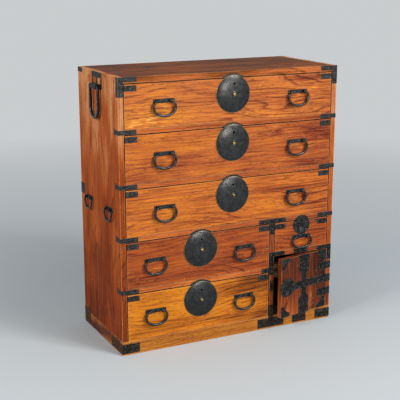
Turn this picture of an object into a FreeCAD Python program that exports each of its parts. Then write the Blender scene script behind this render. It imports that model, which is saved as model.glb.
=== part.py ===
"""Clothes chest (isho-dansu) with five lockable drawers, one small drawer and a hinged door.

Millimetres, +Z up, front facing -Y, origin on the floor under the middle of the case.
"""
import FreeCAD, Part
import Sketcher
import math
import os
from types import SimpleNamespace

Vector = FreeCAD.Vector

# ---------------------------------------------------------------- driving sizes
SIZES = (
    # case
    ("case_width", 880, "overall width of the case"),
    ("case_height", 1000, "overall height of the case"),
    ("case_depth", 392, "overall depth of the case"),
    ("side_thick", 20, "side boards and door post"),
    ("top_thick", 22, "top board"),
    ("base_height", 50, "rails of the base frame"),
    ("base_thick", 22, "rails of the base frame"),
    ("bottom_thick", 14, "bottom board"),
    ("back_thick", 10, "back planks"),
    ("front_plank", 235, "width of the front plank of each side"),
    ("bearer_width", 40, "middle bearer of the base frame"),
    ("ledger_width", 16, "strips that carry the bottom board"),
    ("rail_height", 18, "front rails between the drawers"),
    ("rail_depth", 40, "front rails, front to back"),
    ("dust_thick", 9, "dust boards behind the rails"),
    # openings, as shares of the case; the lowest row takes what is left
    ("row1_share", 0.158, "opening of the top drawer, of the case height"),
    ("row2_share", 0.174, "opening of the second drawer, of the case height"),
    ("row3_share", 0.172, "opening of the third drawer, of the case height"),
    ("row4_share", 0.174, "opening of the fourth drawer, of the case height"),
    ("small_share", 0.114, "opening of the small drawer, of the case height"),
    ("inner_share", 0.076, "opening of the drawer behind the door, of the case height"),
    ("left_share", 0.694, "lower drawers' bay, of the width between the side boards"),
    ("divider_thick", 20, "upright between the two bays"),
    ("shelf_thick", 18, "shelf behind the door"),
    ("shelf_setback", 24, "shelf behind the case front"),
    ("inner_setback", 20, "inner drawer behind the shelf's edge"),
    # drawers
    ("side_gap", 3, "drawer front to case, each side"),
    ("top_gap", 3, "drawer front to the rail above"),
    ("run_gap", 0.3, "drawer to what it runs on"),
    ("back_gap", 3, "drawer box to the back planks"),
    ("front_thick", 20, "drawer fronts"),
    ("wall_thick", 10, "drawer box sides and back"),
    ("floor_thick", 8, "drawer box floors"),
    ("wall_drop", 6, "drawer box sides below the front's top"),
    ("inner_front", 14, "front of the drawer behind the door"),
    ("knob_radius", 7, "knob of the inner drawer"),
    ("knob_length", 12, "knob of the inner drawer"),
    # plates of thin iron
    ("iron", 1.2, "thickness of the iron plates"),
    ("tab_width", 45, "plates on the drawers' top corners"),
    ("tab_height", 20, "plates on the drawers' top corners"),
    ("tab_drop", 7, "those plates below the rail"),
    ("strap_reach", 66, "rail straps along the front"),
    ("strap_height", 16, "rail straps"),
    ("strap_wrap", 38, "rail straps round the side"),
    ("strap_flare", 5, "fan end of a strap, each way"),
    ("fan_radius", 32, "end curve of a strap's fan"),
    ("corner_arm", 70, "top corner irons along the top board"),
    ("corner_drop", 68, "top corner irons down the side board"),
    ("corner_height", 17, "top corner irons, height of the arm"),
    ("corner_wrap", 15, "top corner irons round the side"),
    ("corner_plate", 45, "top plates at the back edge of the sides"),
    ("back_strap", 40, "plates half way up that edge"),
    ("foot_height", 36, "irons on the base rail"),
    ("foot_lift", 6, "irons on the base rail above the floor"),
    ("foot_wrap", 100, "base irons round the side"),
    ("foot_rise", 53, "stem of the base iron on the divider"),
    ("foot_plate", 57, "base plates at the back edge of the sides"),
    ("tee_width", 116, "irons centred on the divider"),
    ("tee_drop", 45, "stem of the iron below the third rail"),
    ("bay_plate", 62, "plates in the middle of the door bay"),
    ("post_strap", 34, "strap at the right end of the fourth rail"),
    ("post_iron", 18, "width of the irons beside the door"),
    ("post_drop", 89, "iron beside the door's free edge"),
    ("bay_drop", 62, "iron beside the door's top hinge"),
    ("keeper_width", 14, "keeper plate of the door lock"),
    ("keeper_height", 42, "keeper plate of the door lock"),
    ("keeper_z", 171, "middle of the keeper plate and the door lock"),
    # round locks
    ("lock_radius", 67, "round lock plates"),
    ("lock_drop", 59, "middle of the lock below the rail"),
    ("lock_boss", 54, "seat of the lock plate on the drawer"),
    ("lock_stand", 1.6, "back of the lock plate's edge off the drawer"),
    ("lock_rim", 3.4, "front of the lock plate's edge off the drawer"),
    ("lock_dome", 10, "height of the lock plate's dome"),
    ("key_across", 6.5, "six-sided keyhole, across corners"),
    ("key_rise", 38, "keyhole above the push button"),
    ("strike_radius", 74, "strike plates on the rails"),
    ("strike_lift", 0.6, "strike plates above the rail's edge"),
    ("strike_thick", 0.9, "strike plates"),
    ("button_radius", 5, "push button"),
    ("button_proud", 6, "push button in front of the dome"),
    ("button_flange", 7.5, "flange that keeps the button in"),
    ("flange_thick", 2, "flange that keeps the button in"),
    ("button_slack", 0.35, "play round the button"),
    ("button_bore", 8.5, "six-sided bore for the button, middle to corner"),
    ("bore_depth", 9, "bore for the button in the drawer front"),
    ("case_wide", 64, "lock case inside the drawer"),
    ("case_tall", 46, "lock case inside the drawer"),
    ("case_thick", 9, "lock case inside the drawer"),
    ("small_lock", 37.5, "lock plate of the small drawer"),
    ("small_lock_drop", 20, "middle of the small lock below the rail"),
    ("neck_width", 32, "neck under the small lock"),
    # swinging handles
    ("bail_half", 41, "half the width of a drawer bail, middle of bar"),
    ("bail_drop", 51, "depth of a drawer bail, middle of bar"),
    ("lug_gap", 1, "end of a bail's bar to its lug"),
    ("bail_bar", 7, "square bar of a drawer bail"),
    ("pin_size", 5, "six-sided pins of a small bail, across corners"),
    ("bail_reach", 10, "pivot of a drawer bail in front of the board"),
    ("bail_play", 0.4, "bail's pin in its post"),
    ("post_offset", 24, "posts from the middle of the handle"),
    ("post_width", 8, "posts along the pivot"),
    ("post_half", 6, "half height of a post"),
    ("grip_width", 82, "plate behind a drawer bail"),
    ("grip_height", 15, "plate behind a drawer bail"),
    ("spread_wide", 540, "between the two handles of a wide drawer"),
    ("spread_left", 362, "between the two handles of a lower drawer"),
    ("grip_drop", 75, "handles below the rail"),
    ("grip_drop_top", 66, "handles of the top drawer below the top board"),
    ("small_grip_drop", 67, "handle of the small drawer below the rail"),
    ("small_bail_drop", 42, "depth of the small drawer's bail, middle of bar"),
    ("side_half", 34, "half the width of a side bail"),
    ("side_drop", 42, "depth of a side bail"),
    ("side_offset", 19, "its lugs from its middle"),
    ("side_bar", 5, "bar of a side bail"),
    ("side_grip_z", 524, "side bails above the floor"),
    ("side_grip_y", 100, "side bails from the middle of the side"),
    ("side_plate", 66, "plate behind a side bail"),
    ("carry_half", 38, "half the width of a carrying bail"),
    ("carry_leg", 74, "straight part of a carrying bail"),
    ("carry_bar", 9, "square bar of a carrying bail"),
    ("carry_pin", 8, "pins of a carrying bail, across corners"),
    ("carry_reach", 12, "pivot of a carrying bail off the side"),
    ("carry_drop", 50, "pivot of a carrying bail below the top"),
    ("carry_barrel", 32, "half the length of the carrying pivot"),
    ("carry_plate", 100, "plate at the top of the side"),
    ("carry_lip", 20, "height of that plate"),
    ("finger_width", 12, "straps between plate and pivot"),
    # door
    ("door_thick", 20, "door"),
    ("door_gap", 2, "door to its opening"),
    ("door_ajar", 12, "angle at which the door stands at rest"),
    ("hinge_reach", 3.4, "hinge pin in front of the door"),
    ("hinge_across", 6.4, "six-sided hinge knuckle, across corners"),
    ("hinge_leaf", 42, "hinge leaf on the door"),
    ("hinge_height", 30, "hinge leaf, height"),
    ("hinge_low", 63, "lowest hinge above the door's foot"),
    ("hinge_pitch", 53.5, "between the hinges"),
    ("hinge_knuckle", 10, "middle knuckle of a hinge"),
    ("hinge_pin", 3, "six-sided hinge pin, across corners"),
    ("hinge_play", 0.3, "play in a hinge"),
    ("disc_radius", 36, "round lock plate of the door"),
    ("disc_inset", 29, "its middle from the door's free edge"),
    ("disc_seat", 26, "seat of that plate on the door"),
    ("disc_thick", 2.4, "round lock plate of the door"),
    ("disc_key", 20, "its keyhole below the middle"),
    ("band_wide", 54, "wide ends of the door's upright band"),
    ("band_end", 26, "height of those ends"),
    ("band_lobe", 28, "half width of the band's lobes"),
    ("lobe_drop", 48, "middle of a lobe from the door's edge"),
    ("band_waist", 13, "half width of the band's waist"),
    ("band_from_edge", 118, "middle of the band from the free edge"),
    ("cross_height", 29, "door's level band"),
    ("horn", 44, "corner irons of the door"),
    ("horn_waist", 17, "corner irons of the door at their ends"),
)

doc = FreeCAD.newDocument("clothes_chest")
sheet = doc.addObject("Spreadsheet::Sheet", "dims")


# ---------------------------------------------------------------- sizes as expressions
class Size:
    """A length known both as an expression on the sheet and as a number."""

    def __init__(self, text, value):
        self.text = text
        self.value = value

    def __add__(self, other):
        other = as_size(other)
        return Size(f"({self.text} + {other.text})", self.value + other.value)

    def __sub__(self, other):
        other = as_size(other)
        return Size(f"({self.text} - {other.text})", self.value - other.value)

    def __mul__(self, other):
        other = as_size(other)
        return Size(f"({self.text} * {other.text})", self.value * other.value)

    def __truediv__(self, other):
        other = as_size(other)
        return Size(f"({self.text} / {other.text})", self.value / other.value)

    def __rsub__(self, other):
        return as_size(other) - self

    def __neg__(self):
        return as_size(0) - self

    __radd__ = __add__
    __rmul__ = __mul__


def as_size(item):
    return item if isinstance(item, Size) else Size(f"({item})", item)


def root(item):
    return Size(f"sqrt({item.text})", math.sqrt(item.value))


def bind(thing, prop, item):
    """Ties a property, named with its path, to sizes on the sheet."""
    thing.setExpression(prop, as_size(item).text)


def fill_sheet():
    """Writes the driving sizes and gives each cell its alias."""
    for row, (alias, value, meaning) in enumerate(SIZES, start=1):
        sheet.set(f"A{row}", alias)
        sheet.set(f"B{row}", str(value))
        sheet.set(f"C{row}", meaning)
        sheet.setAlias(f"B{row}", alias)
    doc.recompute()
    return SimpleNamespace(**{alias: Size(f"dims.{alias}", value) for alias, value, _ in SIZES})


d = fill_sheet()
NODES = []


# ---------------------------------------------------------------- general helpers
def place(thing, corner, turn=0):
    """Puts an object's own origin at a corner, turned about Z by an angle in degrees."""
    angle = as_size(turn)
    thing.Placement = FreeCAD.Placement(Vector(), FreeCAD.Rotation(Vector(0, 0, 1), angle.value))
    if angle is turn:
        bind(thing, ".Placement.Rotation.Angle", angle)
    for axis, item in zip("xyz", corner):
        bind(thing, f".Placement.Base.{axis}", item)
    return thing


def box(name, corner, extent):
    """A board between a low corner and that corner plus its extent."""
    board = doc.addObject("Part::Box", name)
    for prop, item in zip(("Length", "Width", "Height"), extent):
        bind(board, prop, item)
    return place(board, corner)


def node(label, *members, corner=(0, 0, 0), turn=0):
    """Groups the separate solids of one sub-part under its own label."""
    group = doc.addObject("Part::Compound", f"{label}_node")
    group.Links = list(members)
    group.Label = label
    place(group, corner, turn)
    NODES.append(group)
    return group


def sketch_on(body, role, name, offset=None):
    """A sketch on one of the body's own origin planes, moved along its normal."""
    sketch = body.newObject("Sketcher::SketchObject", name)
    plane = next(item for item in body.Origin.OriginFeatures if item.Role == role)
    sketch.AttachmentSupport = [(plane, "")]
    sketch.MapMode = "FlatFace"
    if offset is not None:
        bind(sketch, ".AttachmentOffset.Base.z", offset)
    return sketch


def fix(sketch, kind, elements, item):
    """Adds a dimension to a sketch and ties it to the sheet."""
    item = as_size(item)
    index = sketch.addConstraint(Sketcher.Constraint(kind, *elements, item.value))
    sketch.setExpression(f"Constraints[{index}]", item.text)


def fix_point(sketch, point, where):
    fix(sketch, "DistanceX", (-1, 1, *point), where[0])
    fix(sketch, "DistanceY", (-1, 1, *point), where[1])


def edge(sketch, here, there):
    """Draws one edge and returns its first and last point.

    A corner is (x, y), or (x, y, radius, side) where an arc arrives: side is 1 when the arc
    bulges to the right of the way it runs, and -1 when it bulges to the left.
    """
    start = Vector(as_size(here[0]).value, as_size(here[1]).value, 0)
    finish = Vector(as_size(there[0]).value, as_size(there[1]).value, 0)
    if len(there) == 2:
        index = sketch.addGeometry(Part.LineSegment(start, finish), False)
        return (index, 1), (index, 2)
    radius, side = as_size(there[2]), there[3]
    chord = finish - start
    rise = math.sqrt(max(radius.value ** 2 - chord.Length ** 2 / 4, 0))
    left = Vector(-chord.y, chord.x, 0) / chord.Length
    centre = (start + finish) / 2 + left * rise * side
    ends = (start, finish) if side > 0 else (finish, start)
    angles = [math.atan2(point.y - centre.y, point.x - centre.x) for point in ends]
    circle = Part.Circle(centre, Vector(0, 0, 1), radius.value)
    index = sketch.addGeometry(Part.ArcOfCircle(circle, *angles), False)
    fix(sketch, "Radius", (index,), radius)
    return ((index, 1), (index, 2)) if side > 0 else ((index, 2), (index, 1))


def outline(sketch, corners):
    """Draws a closed outline whose corners are tied to the sheet."""
    edges = [edge(sketch, *pair) for pair in zip(corners, corners[1:] + corners[:1])]
    for (_, finish), (start, _) in zip(edges, edges[1:] + edges[:1]):
        sketch.addConstraint(Sketcher.Constraint("Coincident", *finish, *start))
    for (start, _), corner in zip(edges, corners):
        fix_point(sketch, start, corner[:2])
    return sketch


def ring(sketch, centre, radius):
    """Draws a circle whose place and size are tied to the sheet."""
    radius = as_size(radius)
    middle = Vector(as_size(centre[0]).value, as_size(centre[1]).value, 0)
    index = sketch.addGeometry(Part.Circle(middle, Vector(0, 0, 1), radius.value), False)
    fix(sketch, "Radius", (index,), radius)
    fix_point(sketch, (index, 3), centre)
    return sketch


def pad(body, sketch, name, length, away=False, both=False):
    """Pads a sketch along its normal, against it, or half each way."""
    feature = body.newObject("PartDesign::Pad", name)
    feature.Profile = sketch
    feature.SideType = "Symmetric" if both else "One side"
    feature.Reversed = away
    bind(feature, "Length", length)
    return feature


def revolve(body, sketch, name):
    """Turns a sketch full circle about its own vertical axis."""
    feature = body.newObject("PartDesign::Revolution", name)
    feature.Profile = sketch
    feature.ReferenceAxis = (sketch, ["V_Axis"])
    return feature


def new_body(name, corner, turn=0):
    return place(doc.addObject("PartDesign::Body", name), corner, turn)


def plate(name, corners, corner, turn=0, thick=None, hole=None):
    """A flat plate standing on the plane y = 0 and reaching forward; outline in x and z."""
    body = new_body(name, corner, turn)
    sketch = outline(sketch_on(body, "XZ_Plane", f"{name}_outline"), corners)
    if hole is not None:
        outline(sketch, hole)
    pad(body, sketch, f"{name}_pad", d.iron if thick is None else thick)
    return body


def oblong(left, low, width, tall):
    """Corners of an upright rectangle."""
    return [(left, low), (left + width, low), (left + width, low + tall), (left, low + tall)]


def hexagon(middle, across):
    """Corners of a hexagon with two corners level with its middle."""
    half = across / 2
    rise = half * math.sqrt(3) / 2
    x, y = middle
    return [
        (x + half, y + 0), (x + half / 2, y + rise), (x - half / 2, y + rise),
        (x - half, y + 0), (x - half / 2, y - rise), (x + half / 2, y - rise),
    ]


# ---------------------------------------------------------------- places in the case
front = -d.case_depth / 2
back = d.case_depth / 2
half = d.case_width / 2
inner_half = half - d.side_thick
back_face = back - d.back_thick
under_top = d.case_height - d.top_thick
# underside of the rail above each drawer, top to bottom, and the level each drawer runs on
ROW_TOPS = [under_top]
for share in (d.row1_share, d.row2_share, d.row3_share, d.row4_share):
    ROW_TOPS.append(ROW_TOPS[-1] - d.case_height * share - d.rail_height)
ROW_FLOORS = [top + d.rail_height for top in ROW_TOPS[1:]] + [d.base_height]
left_bay = inner_half * 2 * d.left_share
bay_left = left_bay - inner_half
bay_right = bay_left + d.divider_thick
divider_middle = bay_left + d.divider_thick / 2
left_middle = (bay_left - inner_half) / 2
right_middle = (bay_right + inner_half) / 2
inner_open = d.case_height * d.inner_share
small_floor = ROW_TOPS[3] - d.case_height * d.small_share
door_top = small_floor - d.rail_height
shelf_top = door_top - inner_open


# ---------------------------------------------------------------- swinging handles
def spread_bail(form):
    """Corners of a bail whose short arms slope out of the lugs and round into a wide loop."""
    mouth = form.inner + d.post_width + d.lug_gap
    rows = (
        (0.76, 0.09), (0.9, 0.22), (0.98, 0.37), (1.0, 0.5), (0.95, 0.67), (0.8, 0.82),
        (0.57, 0.93), (0.3, 0.99), (0, 1))
    outside = [(mouth, form.bar / 2)] + [
        ((form.half + form.bar / 2) * across, form.bar / 2 - (form.drop + form.bar) * down)
        for across, down in rows]
    inside = [(mouth, -form.bar / 2)] + [
        ((form.half - form.bar / 2) * across, -form.bar / 2 - (form.drop - form.bar) * down)
        for across, down in rows]
    return outside, inside


def straight_bail(form):
    """Corners of a bail with long straight legs and a half round loop."""
    bends = [math.radians(degrees) for degrees in range(0, 91, 18)]
    return [
        [(radius, form.bar / 2)]
        + [(radius * round(math.cos(bend), 6), -form.leg - radius * round(math.sin(bend), 6))
           for bend in bends]
        for radius in (form.half + form.bar / 2, form.half - form.bar / 2)]


def bail(label, corner, turn, form):
    """A hanging bail, bent in short flats, with two pins turned inward into its lugs."""
    body = new_body(f"{label}_bar", corner, turn)
    outside, inside = form.shape(form)
    loop = sketch_on(body, "XZ_Plane", f"{label}_loop", form.reach)
    outline(loop, outside + [(-x, z) for x, z in outside[-2::-1]]
            + [(-x, z) for x, z in inside[:-1]] + inside[::-1])
    pad(body, loop, f"{label}_loop_pad", form.bar, False, True)
    for side, hand in (("left", -1), ("right", 1)):
        start = outside[0][0] if form.shape is spread_bail else form.half
        pin = sketch_on(body, "YZ_Plane", f"{label}_pin_{side}", start * hand)
        outline(pin, hexagon((-form.reach, 0), form.pin))
        pad(body, pin, f"{label}_pin_{side}_pad", start - form.inner, hand > 0)
    return node(label, body)


GRIP = SimpleNamespace(shape=spread_bail, half=d.bail_half, drop=d.bail_drop, bar=d.bail_bar,
                       reach=d.bail_reach, pin=d.pin_size,
                       inner=d.post_offset - d.post_width / 2)
SMALL_GRIP = SimpleNamespace(**{**vars(GRIP), "drop": d.small_bail_drop})
SIDE_GRIP = SimpleNamespace(shape=spread_bail, half=d.side_half, drop=d.side_drop,
                            bar=d.side_bar, reach=d.bail_reach, pin=d.pin_size,
                            inner=d.side_offset - d.post_width / 2)
CARRY = SimpleNamespace(shape=straight_bail, half=d.carry_half, leg=d.carry_leg,
                        bar=d.carry_bar, reach=d.carry_reach, pin=d.carry_pin,
                        inner=d.carry_barrel - d.post_width)


def post(name, corner, turn, shift, form, width, rise):
    """A lug with a six-sided bore along X for a pin; it stands on a plate on the plane y = 0."""
    body = new_body(name, corner, turn)
    side = sketch_on(body, "YZ_Plane", f"{name}_side", shift)
    nose = form.reach + rise
    slope = rise / 2
    outline(side, [
        (-d.iron, -rise), (-d.iron, rise), (slope - nose, rise), (-nose, slope), (-nose, -slope),
        (slope - nose, -rise)])
    across = (form.pin + d.bail_play * 2) / math.cos(math.radians(30))
    outline(side, hexagon((-form.reach, 0), across))
    pad(body, side, f"{name}_pad", width, False, True)
    return body


def grip_plate(name, corner, turn, width=d.grip_width, form=GRIP):
    """The flat plate behind a bail and the two posts that carry it."""
    shift = form.inner + d.post_width / 2
    backing = plate(f"{name}_grip_plate",
                    oblong(-width / 2, -d.grip_height / 2, width, d.grip_height), corner, turn)
    posts = [post(f"{name}_post_{side}", corner, turn, x, form, d.post_width, d.post_half)
             for side, x in (("left", -shift), ("right", shift))]
    return [backing, *posts]


# ---------------------------------------------------------------- case
def build_case():
    """Boards, rails and the base frame of the case."""
    node("top_board", box("top_board_plank", (-inner_half, front, under_top),
                          (inner_half * 2, d.case_depth, d.top_thick)))
    side_tall = d.case_height - d.base_height
    for label, left in (("side_left", -half), ("side_right", inner_half)):
        rear = d.case_depth - d.front_plank
        node(label,
             box(f"{label}_front_plank", (left, front, d.base_height),
                 (d.side_thick, d.front_plank, side_tall)),
             box(f"{label}_back_plank", (left, front + d.front_plank, d.base_height),
                 (d.side_thick, rear, side_tall)))
    planks = ("left", "inner_left", "inner_right", "right")
    plank = inner_half * 2 / len(planks)
    node("back_boards", *[
        box(f"back_plank_{name}", (plank * index - inner_half, back_face, d.base_height),
            (plank, d.back_thick, under_top - d.base_height))
        for index, name in enumerate(planks)])
    build_base()
    build_rails()
    node("centre_divider", box("divider_board", (bay_left, front, d.base_height),
                               (d.divider_thick, d.case_depth - d.back_thick,
                                ROW_TOPS[3] - d.base_height)))


def build_base():
    """Rails on the floor, with the bearer and ledgers that carry the bottom board."""
    inside = d.case_depth - d.base_thick * 2
    behind = front + d.base_thick
    between = d.case_width - d.base_thick * 2
    low = d.base_height - d.bottom_thick
    ledge = half - d.base_thick
    node("base_frame",
         box("base_front", (-half, front, 0), (d.case_width, d.base_thick, d.base_height)),
         box("base_back", (-half, back - d.base_thick, 0),
             (d.case_width, d.base_thick, d.base_height)),
         box("base_left", (-half, behind, 0), (d.base_thick, inside, d.base_height)),
         box("base_right", (ledge, behind, 0), (d.base_thick, inside, d.base_height)),
         box("base_bearer", (-d.bearer_width / 2, behind, 0), (d.bearer_width, inside, low)),
         box("ledger_left", (-ledge, behind, 0), (d.ledger_width, inside, low)),
         box("ledger_right", (ledge - d.ledger_width, behind, 0),
             (d.ledger_width, inside, low)))
    node("bottom_board", box("bottom_plank", (-ledge, behind, low),
                             (between, inside, d.bottom_thick)))


def build_rails():
    """Front rails, and the dust boards that carry the drawers behind them."""
    spans = [(-inner_half, inner_half * 2, level) for level in ROW_TOPS[1:4]]
    spans.append((-inner_half, left_bay, ROW_TOPS[4]))
    spans.append((bay_right, inner_half - bay_right, door_top))
    rails = []
    boards = []
    for index, (left, width, under) in enumerate(spans, start=1):
        rails.append(box(f"rail_{index}", (left, front, under),
                         (width, d.rail_depth, d.rail_height)))
        boards.append(box(f"dust_board_{index}",
                          (left, front + d.rail_depth, under + d.rail_height - d.dust_thick),
                          (width, back_face - front - d.rail_depth, d.dust_thick)))
    node("front_rails", *rails)
    node("dust_boards", *boards)


def build_inner_bay():
    """Shelf behind the door, and the small drawer that stands on it."""
    width = inner_half - bay_right
    edge_y = front + d.shelf_setback
    node("inner_shelf", box("shelf_board", (bay_right, edge_y, shelf_top - d.shelf_thick),
                            (width, back_face - edge_y, d.shelf_thick)))
    face_y = edge_y + d.inner_setback
    left = bay_right + d.side_gap
    wide = width - d.side_gap * 2
    tall = inner_open - d.top_gap
    knob = plate("inner_knob", hexagon((0, 0), d.knob_radius * 2),
                 (left + wide / 2, face_y, shelf_top + tall / 2), 0, d.knob_length)
    node("inner_drawer_front",
         box("inner_front_board", (left, face_y, shelf_top), (wide, d.inner_front, tall)), knob)
    drawer_box("inner_drawer", left, face_y + d.inner_front, shelf_top, wide, tall)


# ---------------------------------------------------------------- drawers
def drawer_box(name, left, near, floor, wide, tall):
    """Two sides, a back and a floor let in between them, behind a drawer's front."""
    deep = back_face - d.back_gap - near
    wall = tall - d.wall_drop
    within = wide - d.wall_thick * 2
    return node(
        f"{name}_box",
        box(f"{name}_wall_left", (left, near, floor), (d.wall_thick, deep, wall)),
        box(f"{name}_wall_right", (left + wide - d.wall_thick, near, floor),
            (d.wall_thick, deep, wall)),
        box(f"{name}_wall_back", (left + d.wall_thick, near + deep - d.wall_thick, floor),
            (within, d.wall_thick, wall)),
        box(f"{name}_floor", (left + d.wall_thick, near, floor),
            (within, deep - d.wall_thick, d.floor_thick)))


def bored_front(name, left, floor, wide, tall, lock_x, lock_z):
    """A drawer front with the blind six-sided bore that takes the push button."""
    board = box(f"{name}_board", (left, front, floor), (wide, d.front_thick, tall))
    bore = doc.addObject("Part::Prism", f"{name}_bore")
    bind(bore, "Circumradius", d.button_bore)
    bind(bore, "Height", d.bore_depth)
    place(bore, (lock_x, front, lock_z))
    bore.Placement.Rotation = FreeCAD.Rotation(Vector(1, 0, 0), -90)
    cut = doc.addObject("Part::Cut", f"{name}_bored")
    cut.Base = board
    cut.Tool = bore
    return node(f"{name}_front", cut)


def lock_plate(name, corner):
    """A round domed plate with a keyhole, open in the middle for its push button."""
    body = new_body(name, corner)
    bore = d.button_radius + d.button_slack
    rise = d.lock_dome - d.lock_rim
    profile = sketch_on(body, "XY_Plane", f"{name}_profile")
    outline(profile, [
        (bore, -d.lock_stand), (bore, -d.lock_dome), (d.lock_radius * 0.4, -d.lock_dome),
        (d.lock_radius * 0.75, rise * 0.45 - d.lock_dome), (d.lock_radius, -d.lock_rim),
        (d.lock_radius, -d.lock_stand)])
    revolve(body, profile, f"{name}_dome")
    seat = sketch_on(body, "XZ_Plane", f"{name}_seat")
    outline(seat, hexagon((0, 0), d.lock_boss * 2))
    ring(seat, (0, 0), bore)
    pad(body, seat, f"{name}_seat_pad", d.lock_stand)
    hole = outline(sketch_on(body, "XZ_Plane", f"{name}_keyhole"),
                   hexagon((0, d.key_rise), d.key_across))
    pocket = body.newObject("PartDesign::Pocket", f"{name}_key")
    pocket.Profile = hole
    pocket.Reversed = True
    bind(pocket, "Length", d.lock_dome)
    return body


def push_button(name, corner):
    """A round button on a six-sided flange that sits behind the lock plate."""
    body = new_body(f"{name}_turned", corner)
    stem = sketch_on(body, "XZ_Plane", f"{name}_stem", -d.button_slack)
    ring(stem, (0, 0), d.button_radius)
    pad(body, stem, f"{name}_stem_pad", d.lock_dome + d.button_proud + d.button_slack)
    flange = sketch_on(body, "XZ_Plane", f"{name}_flange", -d.button_slack)
    outline(flange, hexagon((0, 0), d.button_flange * 2))
    pad(body, flange, f"{name}_flange_pad", d.flange_thick, True)
    return node(name, body)


def tab(name, left, under):
    """A small plate on a top corner of a drawer front."""
    low = under - d.tab_drop - d.tab_height
    return plate(name, oblong(0, 0, d.tab_width, d.tab_height), (left, front, low))


def lock_case(name, middle, top):
    """The closed case of a lock on the inner face of a drawer front."""
    return box(name, (middle - d.case_wide / 2, front + d.front_thick, top - d.case_tall),
               (d.case_wide, d.case_thick, d.case_tall))


def lockable_drawer(number, left, wide_open, grip_spread, grip_drop):
    """A drawer with its round lock, two swinging handles and a push button."""
    name = f"drawer_{number}"
    under = ROW_TOPS[number - 1]
    floor = ROW_FLOORS[number - 1] + d.run_gap
    tall = under - d.top_gap - floor
    start = left + d.side_gap
    wide = wide_open - d.side_gap * 2
    middle = left + wide_open / 2
    lock_z = under - d.lock_drop
    bored_front(name, start, floor, wide, tall, middle, lock_z)
    drawer_box(name, start, front + d.front_thick, floor, wide, tall)
    irons = [
        lock_plate(f"{name}_lock", (middle, front, lock_z)),
        tab(f"{name}_tab_left", start, under),
        tab(f"{name}_tab_right", start + wide - d.tab_width, under),
        lock_case(f"{name}_lock_case", middle, under - d.top_gap - d.wall_drop)]
    push_button(f"{name}_button", (middle, front, lock_z))
    for side, grip_x in (("left", middle - grip_spread / 2), ("right", middle + grip_spread / 2)):
        spot = (grip_x, front, under - grip_drop)
        irons += grip_plate(f"{name}_{side}", spot, 0)
        bail(f"{name}_bail_{side}", spot, 0, GRIP)
    node(f"{name}_irons", *irons)


def build_small_drawer():
    """The drawer above the door; its lock plate runs down to its only handle."""
    name = "small_drawer"
    under = ROW_TOPS[3]
    floor = small_floor + d.run_gap
    left = bay_right + d.side_gap
    wide = inner_half - bay_right - d.side_gap * 2
    tall = under - d.top_gap - floor
    node(f"{name}_front", box(f"{name}_board", (left, front, floor), (wide, d.front_thick, tall)))
    drawer_box(name, left, front + d.front_thick, floor, wide, tall)
    centre_z = under - d.small_lock_drop
    grip_z = under - d.small_grip_drop
    cut = d.small_lock_drop - d.top_gap
    reach = root(d.small_lock * d.small_lock - cut * cut)
    neck = d.neck_width / 2
    neck_top = -root(d.small_lock * d.small_lock - neck * neck)
    neck_end = grip_z - centre_z + d.grip_height / 2
    shield = plate(f"{name}_lock", [
        (-reach, cut), (-neck, neck_top, d.small_lock, 1), (-neck, neck_end), (neck, neck_end),
        (neck, neck_top), (reach, cut, d.small_lock, 1)],
        (right_middle, front, centre_z), 0, None, hexagon((0, d.key_across / 2), d.key_across))
    spot = (right_middle, front, grip_z)
    node(f"{name}_irons", shield, *grip_plate(name, spot, 0),
         tab(f"{name}_tab_left", left, under),
         tab(f"{name}_tab_right", left + wide - d.tab_width, under),
         lock_case(f"{name}_lock_case", right_middle, under - d.top_gap - d.wall_drop))
    bail(f"{name}_bail", spot, 0, SMALL_GRIP)


# ---------------------------------------------------------------- side fittings
def carry_mount(name, corner, turn):
    """Plate at the top of a side, three straps, and the long lug that holds a carrying bail."""
    wide = d.carry_plate / 2
    strap = d.finger_width
    top = d.carry_drop
    lip = top - d.carry_lip
    low = d.carry_bar
    backing = plate(f"{name}_plate", [
        (-wide, lip), (-wide + strap / 2, lip), (-wide + strap / 2, low), (-wide, low),
        (-wide, -low), (wide, -low), (wide, low), (wide - strap / 2, low),
        (wide - strap / 2, lip), (wide, lip), (wide, top), (-wide, top)], corner, turn)
    middle = plate(f"{name}_middle_strap", oblong(-strap / 2, low, strap, lip - low), corner, turn)
    barrel = post(f"{name}_barrel", corner, turn, 0, CARRY, d.carry_barrel * 2, low)
    return [backing, middle, barrel]


def build_side_fittings():
    """Carrying bails at the top of both sides and two small bails half way down each."""
    irons = []
    for side, x, turn in (("left", -half, -90), ("right", half, 90)):
        top = (x, 0, d.case_height - d.carry_drop)
        irons += carry_mount(f"carry_{side}", top, turn)
        bail(f"carry_bail_{side}", top, turn, CARRY)
        for end, y in (("front", -d.side_grip_y), ("back", d.side_grip_y)):
            spot = (x, y, d.side_grip_z)
            irons += grip_plate(f"side_{side}_{end}", spot, turn, d.side_plate, SIDE_GRIP)
            bail(f"side_bail_{side}_{end}", spot, turn, SIDE_GRIP)
    node("side_fittings", *irons)


# ---------------------------------------------------------------- iron straps and plates
RAIL_STRAP = SimpleNamespace(tall=d.strap_height, wrap=d.strap_wrap)
FOOT_STRAP = SimpleNamespace(tall=d.foot_height, wrap=d.foot_wrap)
strap_lift = (d.rail_height - d.strap_height) / 2


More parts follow.
